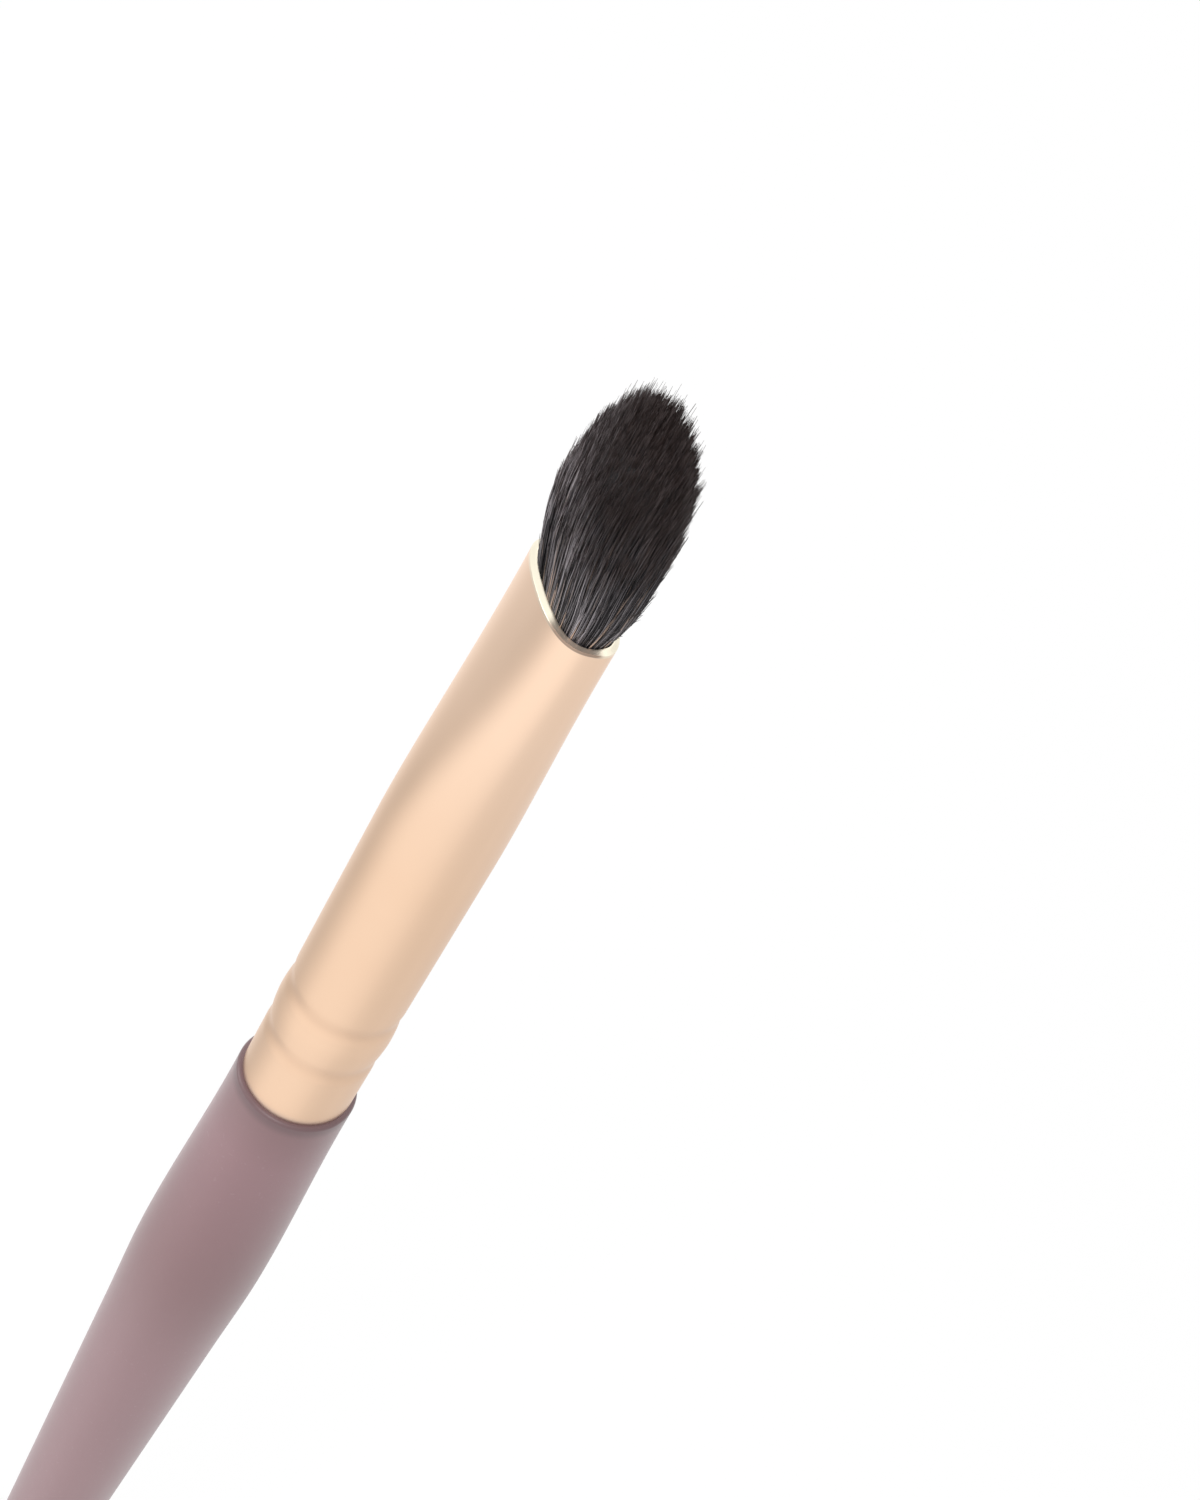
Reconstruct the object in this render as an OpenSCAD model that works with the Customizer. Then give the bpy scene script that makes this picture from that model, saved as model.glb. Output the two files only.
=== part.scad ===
// Eyeshadow brush: a tuft of natural hair in a pinched metal ferrule, on a turned wooden handle.
// The axis of the brush is +Z, with the tuft at the top. The origin is the middle of the handle's tail end.
// The wide side of the pinched mouth lies along X, and the thin side along Y.

/* [Handle] */
// Length of the handle, from its tail end to the shoulder that the ferrule seats on
handle_length = 120; // [100:1:150]
// Diameter of the handle just below the ferrule
shoulder_diameter = 8.15; // [7.9:0.05:9]
// Radius of the rounded edge of the shoulder
shoulder_round = 0.3; // [0.1:0.05:0.4]
// Largest diameter of the handle
belly_diameter = 9.25; // [8.5:0.05:12]
// Distance from the shoulder down to the largest diameter
belly_drop = 20.5; // [15:0.5:28]
// Diameter where the rounded belly runs out into the straight taper
hip_diameter = 8.78; // [7:0.02:9]
// Distance from the largest diameter down to the straight taper
hip_drop = 9; // [6:0.5:14]
// Diameter at the tail, where the rounded end starts
tail_diameter = 4.2; // [3:0.1:6]

/* [Tenon] */
// Length of the tenon that the ferrule slides over
tenon_length = 12.4; // [9.5:0.1:13]
// Radial room for adhesive between the tenon and the bore of the ferrule
glue_room = 0.2; // [0.16:0.01:0.4]
// Chamfer at the tenon's end
tenon_chamfer = 0.5; // [0.2:0.1:1]

/* [Ferrule] */
// Length of the ferrule, from the shoulder to the mouth
ferrule_length = 42.5; // [40:0.5:60]
// Outer diameter of the round barrel
barrel_diameter = 7.5; // [7:0.05:7.6]
// Wall of the tube
wall = 0.4; // [0.25:0.05:0.5]
// Length over which the round tube is pinched to the flat mouth
nose_length = 19; // [14:0.5:20]
// Outer size of the mouth across its wide side
mouth_width = 9.04; // [8:0.02:11]
// Outer size of the mouth across its thin side
mouth_thickness = 4.5; // [3.8:0.05:6]
// How square the mouth is: 2 is an ellipse, and more fills the corners
mouth_squareness = 2.6; // [2:0.1:3.5]

/* [Crimp] */
// Distance from the shoulder up to the lower rolled groove
lower_groove_height = 5; // [4:0.25:5.5]
// Distance between the two rolled grooves
groove_spacing = 4.1; // [3.5:0.1:4.5]
// Width of a groove
groove_width = 1.3; // [0.8:0.1:1.5]
// Depth of a groove
groove_depth = 0.08; // [0.03:0.01:0.1]
// How far the band between the grooves stands proud of the barrel
band_rise = 0.1; // [0.02:0.01:0.15]

/* [Hair] */
// Height of the tuft above the mouth
hair_height = 12.2; // [10:0.1:18]
// Width of the tuft at its fullest
hair_width = 10.6; // [8.4:0.1:13]
// Thickness of the tuft at its fullest
hair_thickness = 6.1; // [4:0.1:8]
// Height above the mouth at which the tuft is fullest
hair_belly_height = 8.2; // [4:0.1:9]
// Height above the mouth at which the outermost hairs end
hair_edge_height = 7.4; // [4:0.1:9]
// How far the tuft bows towards its one flat side at half its height
hair_bow = 0.45; // [0:0.05:0.8]
// How far its tip nods towards the other flat side
hair_nod = 0.25; // [0:0.05:0.8]
// Depth below the lip at which the locks part from the packed root
hair_recess = 0.6; // [0.3:0.1:1.5]
// Depth of the packed root below the start of the nose
root_overrun = 0.5; // [0.2:0.1:1]
// Rings of locks, from the middle of the tuft to its edge
hair_rings = 11; // [10:1:12]

/* [Resin plug] */
// Length of the resin plug under the packed root
plug_length = 2; // [1.4:0.1:5]
// Depth of the hollow that the resin's surface dries to
plug_meniscus = 0.5; // [0.2:0.1:1.2]

/* [Fits] */
// Radial gap between pieces that are bonded to each other
bond_gap = 0.02; // [0.01:0.005:0.03]
// Gap between the packed root and the ferrule's wall
root_gap = 0.05; // [0.02:0.01:0.1]

/* [Hidden] */
$fn = 96;

HAIR_COLOR = [0.16, 0.15, 0.16];
RESIN_COLOR = [0.80, 0.70, 0.45];
FERRULE_COLOR = [0.90, 0.76, 0.65];
GLUE_COLOR = [0.92, 0.90, 0.82];
HANDLE_COLOR = [0.61, 0.50, 0.51];

// Steps along a blended stretch of an outline, around a rounded edge, and along the nose
BLEND_STEPS = 10;
ROUND_STEPS = 6;
NOSE_STEPS = 11;
GROOVE_STEPS = 3;
LIP_STEPS = 4;
ROOT_STEPS = 6;

// Places along the axis
shoulder_z = handle_length;
mouth_z = shoulder_z + ferrule_length;
nose_z = mouth_z - nose_length;
lock_z = mouth_z - hair_recess;
root_z = nose_z - root_overrun;
belly_z = shoulder_z - belly_drop;
hip_z = belly_z - hip_drop;
tail_z = tail_diameter / 2;
upper_groove_z = shoulder_z + lower_groove_height + groove_spacing;

// Radii
barrel_r = barrel_diameter / 2;
bore_r = barrel_r - wall;
tenon_r = bore_r - glue_room;
// The round end of the tube and the pinched length meet in the bottom of the upper groove, on a fine rolled line.
// The round end runs a little way up inside the pinched length, so that they always join.
roll_line = groove_depth / 4;
roll_overrun = wall / 8;

function mix(a, b, share) = a * (1 - share) + b * share;
// 0 to 1 with a level start and a level end
function ease(share) = share * share * (3 - 2 * share);

// A closed curve with half sizes a and b: an ellipse at squareness 2, filled out at the corners above that
function oval_point(turn, a, b, squareness) =
    let (c = cos(turn), s = sin(turn))
    let (size = pow(pow(abs(c), squareness) + pow(abs(s), squareness), 1 / squareness))
    [a * c / size, b * s / size];

// Half sizes and squareness of the tube at height z, taken in by inset
function pinch_share(z) = z <= nose_z ? 0 : ease(min((z - nose_z) / nose_length, 1));
function tube_half_x(z, inset) = mix(barrel_r, mouth_width / 2, pinch_share(z)) - inset;
function tube_half_y(z, inset) = mix(barrel_r, mouth_thickness / 2, pinch_share(z)) - inset;
function tube_squareness(z) = mix(2, mouth_squareness, pinch_share(z));
function tube_ring(z, inset, sides) = [
    for (i = [0 : sides - 1])
        let (p = oval_point(360 * i / sides, tube_half_x(z, inset), tube_half_y(z, inset), tube_squareness(z)))
        [p.x, p.y, z]
];

// Triangles between two rings of point numbers, listed clockwise as seen from outside
function band_faces(lower, upper) = [
    for (i = [0 : len(lower) - 1])
        let (n = (i + 1) % len(lower))
        each [[lower[i], upper[i], upper[n]], [lower[i], upper[n], lower[n]]]
];
function ring_ids(ring, sides) = [for (i = [0 : sides - 1]) ring * sides + i];

// Handle
// A smooth curve from one height and radius to the next, with a given slope at each end
function blend(from, to, slope_from, slope_to) = [
    for (i = [0 : BLEND_STEPS])
        let (t = i / BLEND_STEPS, span = to.y - from.y)
        [from.x * (2 * t * t * t - 3 * t * t + 1) + to.x * (3 * t * t - 2 * t * t * t)
            + span * slope_from * (t * t * t - 2 * t * t + t) + span * slope_to * (t * t * t - t * t),
         mix(from.y, to.y, t)]
];
function arc(middle, radius, from, to) = [
    for (i = [0 : ROUND_STEPS])
        let (turn = mix(from, to, i / ROUND_STEPS))
        [middle.x + radius * cos(turn), middle.y + radius * sin(turn)]
];

tail_point = [tail_diameter / 2, tail_z];
hip_point = [hip_diameter / 2, hip_z];
belly_point = [belly_diameter / 2, belly_z];
shoulder_point = [shoulder_diameter / 2, shoulder_z - shoulder_round];
taper_slope = (hip_point.x - tail_point.x) / (hip_point.y - tail_point.y);

handle_outline = concat(
    [[0, 0]],
    arc([0, tail_z], tail_diameter / 2, -90, 0),
    blend(hip_point, belly_point, taper_slope, 0),
    blend(belly_point, shoulder_point, 0, 0),
    arc([shoulder_point.x - shoulder_round, shoulder_point.y], shoulder_round, 0, 90),
    [[tenon_r, shoulder_z],
     [tenon_r, shoulder_z + tenon_length - tenon_chamfer],
     [tenon_r - tenon_chamfer, shoulder_z + tenon_length],
     [0, shoulder_z + tenon_length]]
);

module handle() {
    color(HANDLE_COLOR)
        rotate_extrude()
            polygon(handle_outline);
}

// Ferrule
// How far the tube's wall stands out from the barrel's at a height near the crimp
function groove_offset(z, middle) =
    let (reach = abs(z - middle) / (groove_width / 2))
    reach >= 1 ? 0 : -groove_depth * (1 + cos(180 * reach)) / 2;
function band_offset(z) =
    let (middle = upper_groove_z - groove_spacing / 2)
    let (reach = abs(z - middle) / (groove_spacing / 2))
    reach >= 1 ? 0 : band_rise * (1 + cos(180 * reach)) / 2;
function crimp_offset(z) =
    groove_offset(z, upper_groove_z) + groove_offset(z, upper_groove_z - groove_spacing) + band_offset(z);

CRIMP_STEPS = 28;
crimp_heights = [
    for (i = [0 : CRIMP_STEPS])
        mix(upper_groove_z - groove_spacing - groove_width / 2, upper_groove_z + roll_overrun, i / CRIMP_STEPS)
];
// The wall's outline on one side of the tube, inset from the outer surface
function crimp_outline(inset) = [for (z = crimp_heights) [barrel_r - inset + crimp_offset(z), z]];
function reversed(list) = [for (i = [len(list) - 1 : -1 : 0]) list[i]];

module ferrule_end() {
    rotate_extrude()
        polygon(concat(
            [[bore_r, shoulder_z], [barrel_r, shoulder_z]],
            crimp_outline(0),
            reversed(crimp_outline(wall))
        ));
}

// Heights of the pinched length's sections, and how far each is let in by the groove it starts from
groove_heights = [for (i = [0 : GROOVE_STEPS]) upper_groove_z + groove_width / 2 * i / GROOVE_STEPS];
nose_heights = [for (i = [0 : NOSE_STEPS]) mix(nose_z, mouth_z - wall / 2, i / NOSE_STEPS)];
tube_heights = concat(groove_heights, nose_heights);
function tube_let_in(z) = roll_line * (1 - ease(min((z - upper_groove_z) / (groove_width / 2), 1)))
    + groove_offset(z, upper_groove_z);

module pinched_tube() {
    sides = 6 * hair_rings;
    rings = concat(
        [for (z = tube_heights) tube_ring(z, -tube_let_in(z), sides)],
        [for (i = [1 : LIP_STEPS - 1])
            let (turn = 180 * i / LIP_STEPS)
            tube_ring(mouth_z - wall / 2 * (1 - sin(turn)), wall / 2 * (1 - cos(turn)), sides)],
        [for (z = reversed(tube_heights)) tube_ring(z, wall - tube_let_in(z), sides)]
    );
    count = len(rings);
    polyhedron(
        points = [for (ring = rings) each ring],
        faces = [for (r = [0 : count - 1]) each band_faces(ring_ids(r, sides), ring_ids((r + 1) % count, sides))]
    );
}

module ferrule() {
    color(FERRULE_COLOR)
        union() {
            ferrule_end();
            pinched_tube();
        }
}

// Adhesive film between the tenon and the bore
glue_top_z = shoulder_z + tenon_length - tenon_chamfer;
glue_heights = [
    for (i = [0 : CRIMP_STEPS])
        mix(upper_groove_z - groove_spacing - groove_width / 2, upper_groove_z + groove_width / 2, i / CRIMP_STEPS)
];

module tenon_glue() {
    color(GLUE_COLOR)
        rotate_extrude()
            polygon(concat(
                [[tenon_r + bond_gap, shoulder_z + bond_gap], [bore_r - bond_gap, shoulder_z + bond_gap]],
                [for (z = glue_heights) if (z < glue_top_z) [bore_r - bond_gap + min(crimp_offset(z), 0), z]],
                [[bore_r - bond_gap + min(crimp_offset(glue_top_z), 0), glue_top_z],
                 [tenon_r + bond_gap, glue_top_z]]
            ));
}

// Resin plug: a disc with a hollow face where the resin crept up the wall
module root_resin() {
    plug_r = bore_r - root_gap;
    bottom_z = root_z - plug_length;
    hollow = [
        for (i = [0 : BLEND_STEPS])
            let (share = i / BLEND_STEPS)
            [plug_r * share, bottom_z + plug_meniscus * (1 - share * share)]
    ];
    color(RESIN_COLOR)
        rotate_extrude()
            polygon(concat(hollow, [[plug_r, root_z], [0, root_z]]));
}

// Hair
// The locks stand on a net of triangles in rings of 6, 12, 18 and so on. Every second triangle of the net is the
// foot of a lock, which follows the same flow as its neighbours and narrows towards its own middle. One flow and
// separate feet keep the locks from ever crossing.
root_half_x = tube_half_x(lock_z, wall + root_gap);
root_half_y = tube_half_y(lock_z, wall + root_gap);
flow_height = hair_height + hair_recess;
flow_belly = hair_belly_height + hair_recess;
flow_edge = hair_edge_height + hair_recess;

// Share of the fullest size that the flow is drawn in to at the tip, across each side
tip_width_share = 1.04;
tip_thickness_share = 0.7;
// How late the flow is drawn in on its way from the belly to the tip: 1 is a straight cone
tip_lateness = 1.4;
// How soon the flow opens above the mouth: 1 is a straight cone, and more bulges at the lip
flow_rise = 1.5;
// How full the dome of the tuft is: 2 is an ellipse, and more has fuller shoulders
dome_fullness = 2.75;
// Heights of a lock's sections and its size there, as shares of its length and of its foot
lock_height_shares = [0.34, 0.66, 0.88];
lock_size_shares = [0.86, 0.76, 0.5];
// How far the locks' lengths differ, as a share
lock_spread_share = 0.035;

function flow_half(h, root_half, belly_half, tip_share) = h < flow_belly
    ? mix(root_half, belly_half, 1 - pow(1 - h / flow_belly, flow_rise))
    : belly_half * (1 - (1 - tip_share) * pow((h - flow_belly) / (flow_height - flow_belly), tip_lateness));
// The tuft bows towards one flat side at half its height, and its tip nods to the other
function flow_sway(h) =
    let (share = min(h / flow_height, 1))
    hair_nod * share * share - hair_bow * sin(180 * ease(share));
function flow_point(share, turn, h) =
    let (a = flow_half(h, root_half_x, hair_width / 2, tip_width_share))
    let (b = flow_half(h, root_half_y, hair_thickness / 2, tip_thickness_share))
    let (p = oval_point(turn, a, b, mix(tube_squareness(lock_z), 2, min(h / flow_belly, 1))))
    [share * p.x, share * p.y + flow_sway(h), lock_z + h];
// Length of a lock whose foot lies at a share of the way from the middle to the edge
function lock_length(share) = mix(flow_edge, flow_height, sqrt(1 - pow(min(share, 1), dome_fullness)));

function net_id(ring, i) = ring == 0 ? 0 : 1 + 3 * ring * (ring - 1) + i % (6 * ring);
// The net's corners stray from their even places, so that no straight parting shows. Those on the edge stay.
net_stray_share = 0.22;
net_strays = rands(-net_stray_share, net_stray_share, 2 * net_id(hair_rings + 1, 0), 7);
function stray(ring, i) = ring == hair_rings ? 0 : net_strays[2 * net_id(ring, i)];
function side_stray(ring, i) = ring == hair_rings ? 0 : net_strays[2 * net_id(ring, i) + 1];
function net_share(ring, i) = ring == 0 ? 0 : (ring + stray(ring, i)) / hair_rings;
function net_turn(ring, i) = ring == 0 ? 0 : 60 * (i + side_stray(ring, i)) / ring;
// A triangle of the net, counter-clockwise from above: its corners as [ring, place on the ring]
function outward_cell(ring, sector, i) = [
    [ring, sector * ring + i], [ring, sector * ring + i + 1], [ring - 1, sector * (ring - 1) + i]
];
function inward_cell(ring, sector, i) = [
    [ring, sector * ring + i + 1], [ring - 1, sector * (ring - 1) + i + 1], [ring - 1, sector * (ring - 1) + i]
];
// Neighbouring sectors take turns, so that two feet never share a side
function cells(even_out, even_in) = [
    for (ring = [1 : hair_rings], sector = [0 : 5])
        each (sector % 2 == (even_out ? 0 : 1)
            ? [for (i = [0 : ring - 1]) outward_cell(ring, sector, i)]
            : ring > 1 ? [for (i = [0 : ring - 2]) inward_cell(ring, sector, i)] : [])
];
feet = cells(true, false);
gaps = cells(false, true);

function corner(place, h) = flow_point(net_share(place[0], place[1]), net_turn(place[0], place[1]), h);
function middle(points) = (points[0] + points[1] + points[2]) / 3;
function cell_share(cell) = (cell[0][0] + cell[1][0] + cell[2][0]) / 3 / hair_rings;
function lock_points(cell, length) = concat(
    [for (s = [0 : len(lock_height_shares) - 1])
        let (ring = [for (place = cell) corner(place, length * lock_height_shares[s])])
        each [for (p = ring) mix(middle(ring), p, lock_size_shares[s])]],
    [middle([for (place = cell) corner(place, length)])]
);
function cell_ids(cell) = [for (place = cell) net_id(place[0], place[1])];
function lock_faces(cell, first) =
    let (sections = len(lock_height_shares))
    let (tip = first + 3 * sections)
    concat(
        band_faces(cell_ids(cell), [first, first + 1, first + 2]),
        [for (s = [0 : sections - 2])
            each band_faces([for (i = [0 : 2]) first + 3 * s + i], [for (i = [0 : 2]) first + 3 * s + 3 + i])],
        [for (i = [0 : 2]) [tip - 3 + i, tip, tip - 3 + (i + 1) % 3]]
    );

module hair_tuft() {
    edge = 6 * hair_rings;
    net_points = [
        for (ring = [0 : hair_rings], i = [0 : max(6 * ring, 1) - 1]) corner([ring, i], 0)
    ];
    lengths = [
        for (i = [0 : len(feet) - 1])
            lock_length(cell_share(feet[i])) * (1 - lock_spread_share * rands(0, 1, 1, i)[0])
    ];
    locks = [for (i = [0 : len(feet) - 1]) each lock_points(feet[i], lengths[i])];
    root_heights = [for (i = [0 : ROOT_STEPS - 1]) mix(root_z, lock_z, i / ROOT_STEPS)];
    root_rings = [for (z = root_heights) tube_ring(z, wall + root_gap, edge)];
    lock_size = 3 * len(lock_height_shares) + 1;
    lock_start = len(net_points);
    root_start = lock_start + len(locks);
    foot_id = root_start + ROOT_STEPS * edge;
    function root_ids(r) = r == ROOT_STEPS
        ? [for (i = [0 : edge - 1]) net_id(hair_rings, i)]
        : [for (i = [0 : edge - 1]) root_start + r * edge + i];
    color(HAIR_COLOR)
        polyhedron(
            points = concat(net_points, locks, [for (ring = root_rings) each ring], [[0, 0, root_z]]),
            faces = concat(
                [for (cell = gaps) reversed(cell_ids(cell))],
                [for (i = [0 : len(feet) - 1]) each lock_faces(feet[i], lock_start + i * lock_size)],
                [for (r = [0 : ROOT_STEPS - 1]) each band_faces(root_ids(r), root_ids(r + 1))],
                [for (i = [0 : edge - 1]) [foot_id, root_start + i, root_start + (i + 1) % edge]]
            )
        );
}

hair_tuft();
root_resin();
ferrule();
tenon_glue();
handle();
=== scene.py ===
# %% [markdown]
# # Eyeshadow brush
# A small make-up brush: a dense oval tuft of dark natural hair, a satin rose gold ferrule that is round at the
# handle and pinched to a flat oval at the mouth, and a turned wooden handle with a dusty mauve lacquer.
# The brush stands on its tail end at the origin, with its axis along +Z and the wide side of the mouth along X.
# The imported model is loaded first. It is the fixed frame, so every piece below is made in its place.

# %% Load the frame
import math
import bpy
import numpy as np
from mathutils import Matrix, Vector


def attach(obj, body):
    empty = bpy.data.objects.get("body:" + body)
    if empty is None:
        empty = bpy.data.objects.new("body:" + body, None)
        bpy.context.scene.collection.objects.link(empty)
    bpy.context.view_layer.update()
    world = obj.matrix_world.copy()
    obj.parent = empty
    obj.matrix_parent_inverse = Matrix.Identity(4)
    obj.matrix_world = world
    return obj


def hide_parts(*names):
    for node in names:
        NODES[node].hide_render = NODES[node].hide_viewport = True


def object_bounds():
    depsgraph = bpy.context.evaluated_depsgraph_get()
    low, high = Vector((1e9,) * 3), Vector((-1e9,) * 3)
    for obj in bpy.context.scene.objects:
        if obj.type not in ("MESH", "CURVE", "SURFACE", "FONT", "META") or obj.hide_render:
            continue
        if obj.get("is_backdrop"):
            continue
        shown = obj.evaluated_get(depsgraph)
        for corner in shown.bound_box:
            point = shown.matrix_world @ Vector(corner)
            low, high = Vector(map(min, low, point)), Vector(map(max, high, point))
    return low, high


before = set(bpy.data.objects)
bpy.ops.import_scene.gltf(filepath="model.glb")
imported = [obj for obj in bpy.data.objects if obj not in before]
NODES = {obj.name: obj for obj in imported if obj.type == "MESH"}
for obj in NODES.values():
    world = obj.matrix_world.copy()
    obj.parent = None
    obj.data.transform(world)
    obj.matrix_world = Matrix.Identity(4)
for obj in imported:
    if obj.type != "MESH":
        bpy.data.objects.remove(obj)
CAD_BOX = [[float(c) for c in corner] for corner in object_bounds()]
scene = bpy.context.scene
print("nodes:", sorted(NODES))
print("box in mm:", [[round(c * 1000, 2) for c in corner] for corner in CAD_BOX])

# %% [markdown]
# ## Sizes
# A brush maker names a brush by a few sizes: the handle's swell, the barrel of the ferrule, the mouth that it is
# pinched to, and the length of hair out of the mouth. They are kept here in millimetres, because every rule below
# reads more easily in them, and the last step of each rule turns them to metres.

# %% Sizes in millimetres
MM = 0.001
SHOULDER = 120.0          # height of the handle's shoulder, where the ferrule sits
MOUTH = 162.5             # height of the ferrule's mouth
NOSE = 143.5              # height where the pinch starts
BARREL = 3.75             # outer radius of the round barrel
WALL = 0.4                # wall of the tube
MOUTH_HALF = (4.52, 2.25)  # half sizes of the mouth, across its wide and its thin side
SQUARENESS = 2.6          # 2 is an ellipse, and more fills the corners
GROOVES = (125.0, 129.1)  # heights of the two rolled grooves
GROOVE_HALF = 0.95        # half of a groove's width, with its soft slopes
GROOVE_DEPTH = 0.08       # how deep a groove is rolled
BAND_RISE = 0.1           # how far the band between the grooves stands proud
print("ferrule:", MOUTH - SHOULDER, "mm long,", 2 * BARREL, "mm barrel,", 2 * MOUTH_HALF[0], "mm mouth")

# %% [markdown]
# ## Sums on sockets
# A shape or a finish that follows a rule is a sum. Written as nodes it takes a dozen Math nodes, and it is hard to
# read. A Field wraps one socket and overloads the operators, so that a line of plain arithmetic adds the nodes.
# The same line also works on plain numbers and on arrays, so one rule can serve a node tree and a check of it.

# %% Field and Graph
class Field:
    """One socket of a node tree. Each operation on it adds a Math node."""

    def __init__(self, graph, socket):
        self.graph, self.socket = graph, socket

    def maths(self, operation, *others, turned=False):
        """A Math node on this value and others. Turned, this value comes last."""
        values = [*others, self] if turned else [self, *others]
        return self.graph.add("ShaderNodeMath", {"operation": operation}, dict(enumerate(values)))

    def __add__(self, other): return self.maths("ADD", other)
    def __radd__(self, other): return self.maths("ADD", other, turned=True)
    def __sub__(self, other): return self.maths("SUBTRACT", other)
    def __rsub__(self, other): return self.maths("SUBTRACT", other, turned=True)
    def __mul__(self, other): return self.maths("MULTIPLY", other)
    def __rmul__(self, other): return self.maths("MULTIPLY", other, turned=True)
    def __truediv__(self, other): return self.maths("DIVIDE", other)
    def __rtruediv__(self, other): return self.maths("DIVIDE", other, turned=True)
    def __pow__(self, other): return self.maths("POWER", other)
    def __rpow__(self, other): return self.maths("POWER", other, turned=True)
    def __abs__(self): return self.maths("ABSOLUTE")


class Graph:
    """A node tree with one way to add a node: its type, its settings, and what its sockets get."""

    def __init__(self, tree):
        self.tree = tree

    def add(self, kind, settings=None, sockets=None, output=0):
        """Adds a node. A socket is named or numbered, and gets a number, a colour, a field or a list of fields."""
        node = self.tree.nodes.new(kind)
        for name, value in (settings or {}).items():
            if name == "stops":
                self.set_stops(node.color_ramp, value)
            else:
                setattr(node, name, value)
        for key, value in (sockets or {}).items():
            socket = self.find(node.inputs, key)
            for one in value if isinstance(value, list) else [value]:
                if isinstance(one, Field):
                    self.tree.links.new(one.socket, socket)
                else:
                    socket.default_value = one
        return Field(self, self.find(node.outputs, output)) if len(node.outputs) else node

    @staticmethod
    def find(sockets, key):
        """The socket with this name, or this place, among those that the node's settings leave in use."""
        usable = [s for s in sockets if s.enabled]
        return usable[key] if isinstance(key, int) else next(s for s in usable if s.name == key)

    @staticmethod
    def set_stops(ramp, stops):
        """Gives a colour ramp its stops, each a place from 0 to 1 and a colour."""
        while len(ramp.elements) < len(stops):
            ramp.elements.new(1.0)
        for element, (place, colour) in zip(ramp.elements, stops):
            element.position, element.color = place, colour

    def other(self, field, output):
        """Another output of the node that a field comes from."""
        return Field(self, self.find(field.socket.node.outputs, output))

    def vector(self, x, y, z):
        """Three values as one vector."""
        return self.add("ShaderNodeCombineXYZ", None, {0: x, 1: y, 2: z})

    def parts(self, vector):
        """The x, y and z of a vector."""
        first = self.add("ShaderNodeSeparateXYZ", None, {0: vector})
        return [self.other(first, i) for i in range(3)]


print("helpers ready: Field, Graph")

# %% [markdown]
# ## Small sums that work on both
# The rules of shape need a few functions besides the four operations. Each takes a Field, a number or an array.

# %% Functions for fields, numbers and arrays
def clamp(x):
    """Keeps x between 0 and 1."""
    if isinstance(x, Field):
        return x.graph.add("ShaderNodeClamp", None, {0: x, 1: 0.0, 2: 1.0})
    return np.clip(x, 0.0, 1.0)


def cosine(x): return x.maths("COSINE") if isinstance(x, Field) else np.cos(x)
def sine(x): return x.maths("SINE") if isinstance(x, Field) else np.sin(x)
def greater(x, y): return x.maths("MAXIMUM", y) if isinstance(x, Field) else np.maximum(x, y)
def lesser(x, y): return x.maths("MINIMUM", y) if isinstance(x, Field) else np.minimum(x, y)
def mix(a, b, share): return a + (b - a) * share
def ease(share): return share * share * (3.0 - 2.0 * share)
def hump(reach): return 0.5 + 0.5 * cosine(math.pi * clamp(reach))


print("ease(0.25) =", ease(0.25), " hump(0.5) =", round(float(hump(0.5)), 3))

# %% [markdown]
# ## The rule of the ferrule
# The real tube is drawn round, slid over the hair, and pinched flat between two jaws. Its outline changes from a
# circle to a squared oval over the nose, and the change starts and ends gently. Two rollers press the grooves that
# hold the tube on the handle, and the metal between them stands a little proud.

# %% Outline of the tube at any height
def pinch(z):
    """0 on the round barrel, 1 at the mouth."""
    return ease(clamp((z - NOSE) / (MOUTH - NOSE)))


def crimp(z):
    """How far the wall stands out at a height: more than 0 on the band, less in the grooves."""
    low, high = (hump(abs(z - groove) / GROOVE_HALF) for groove in GROOVES)
    middle, reach = (GROOVES[0] + GROOVES[1]) / 2, (GROOVES[1] - GROOVES[0]) / 2
    return BAND_RISE * hump(abs(z - middle) / reach) - GROOVE_DEPTH * (low + high)


def oval_stretch(c, s, squareness):
    """What a unit circle's point is divided by, so that it lands on the squared oval."""
    return (abs(c) ** squareness + abs(s) ** squareness) ** (1.0 / squareness)


def tube_point(c, s, z, inset):
    """A point of the tube in the direction (c, s) at height z, let in from the outer face."""
    half_x = mix(BARREL, MOUTH_HALF[0], pinch(z)) - inset + crimp(z)
    half_y = mix(BARREL, MOUTH_HALF[1], pinch(z)) - inset + crimp(z)
    stretch = oval_stretch(c, s, mix(2.0, SQUARENESS, pinch(z)))
    return half_x * c / stretch, half_y * s / stretch, z


print("mouth corner in mm:", [round(float(v), 3) for v in tube_point(0.7071, 0.7071, MOUTH, 0.0)])

# %% [markdown]
# ## The form of the tuft
# A brush maker drops the hair tip first into a cup, so the tips take the cup's domed form, and then packs the roots
# into the mouth. The tuft opens from the mouth to its belly, closes a little to the tip, bows to one side on the
# way, and ends in a dome: the middle hairs reach highest and the outer ones end lowest. No tuft is perfectly even.
# This one leans a little to one flat side, and its dome is a little higher at one corner. A place in it is named
# by its share, which is 0 on the axis and 1 on the outside, and by its height above the hair's foot.

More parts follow.
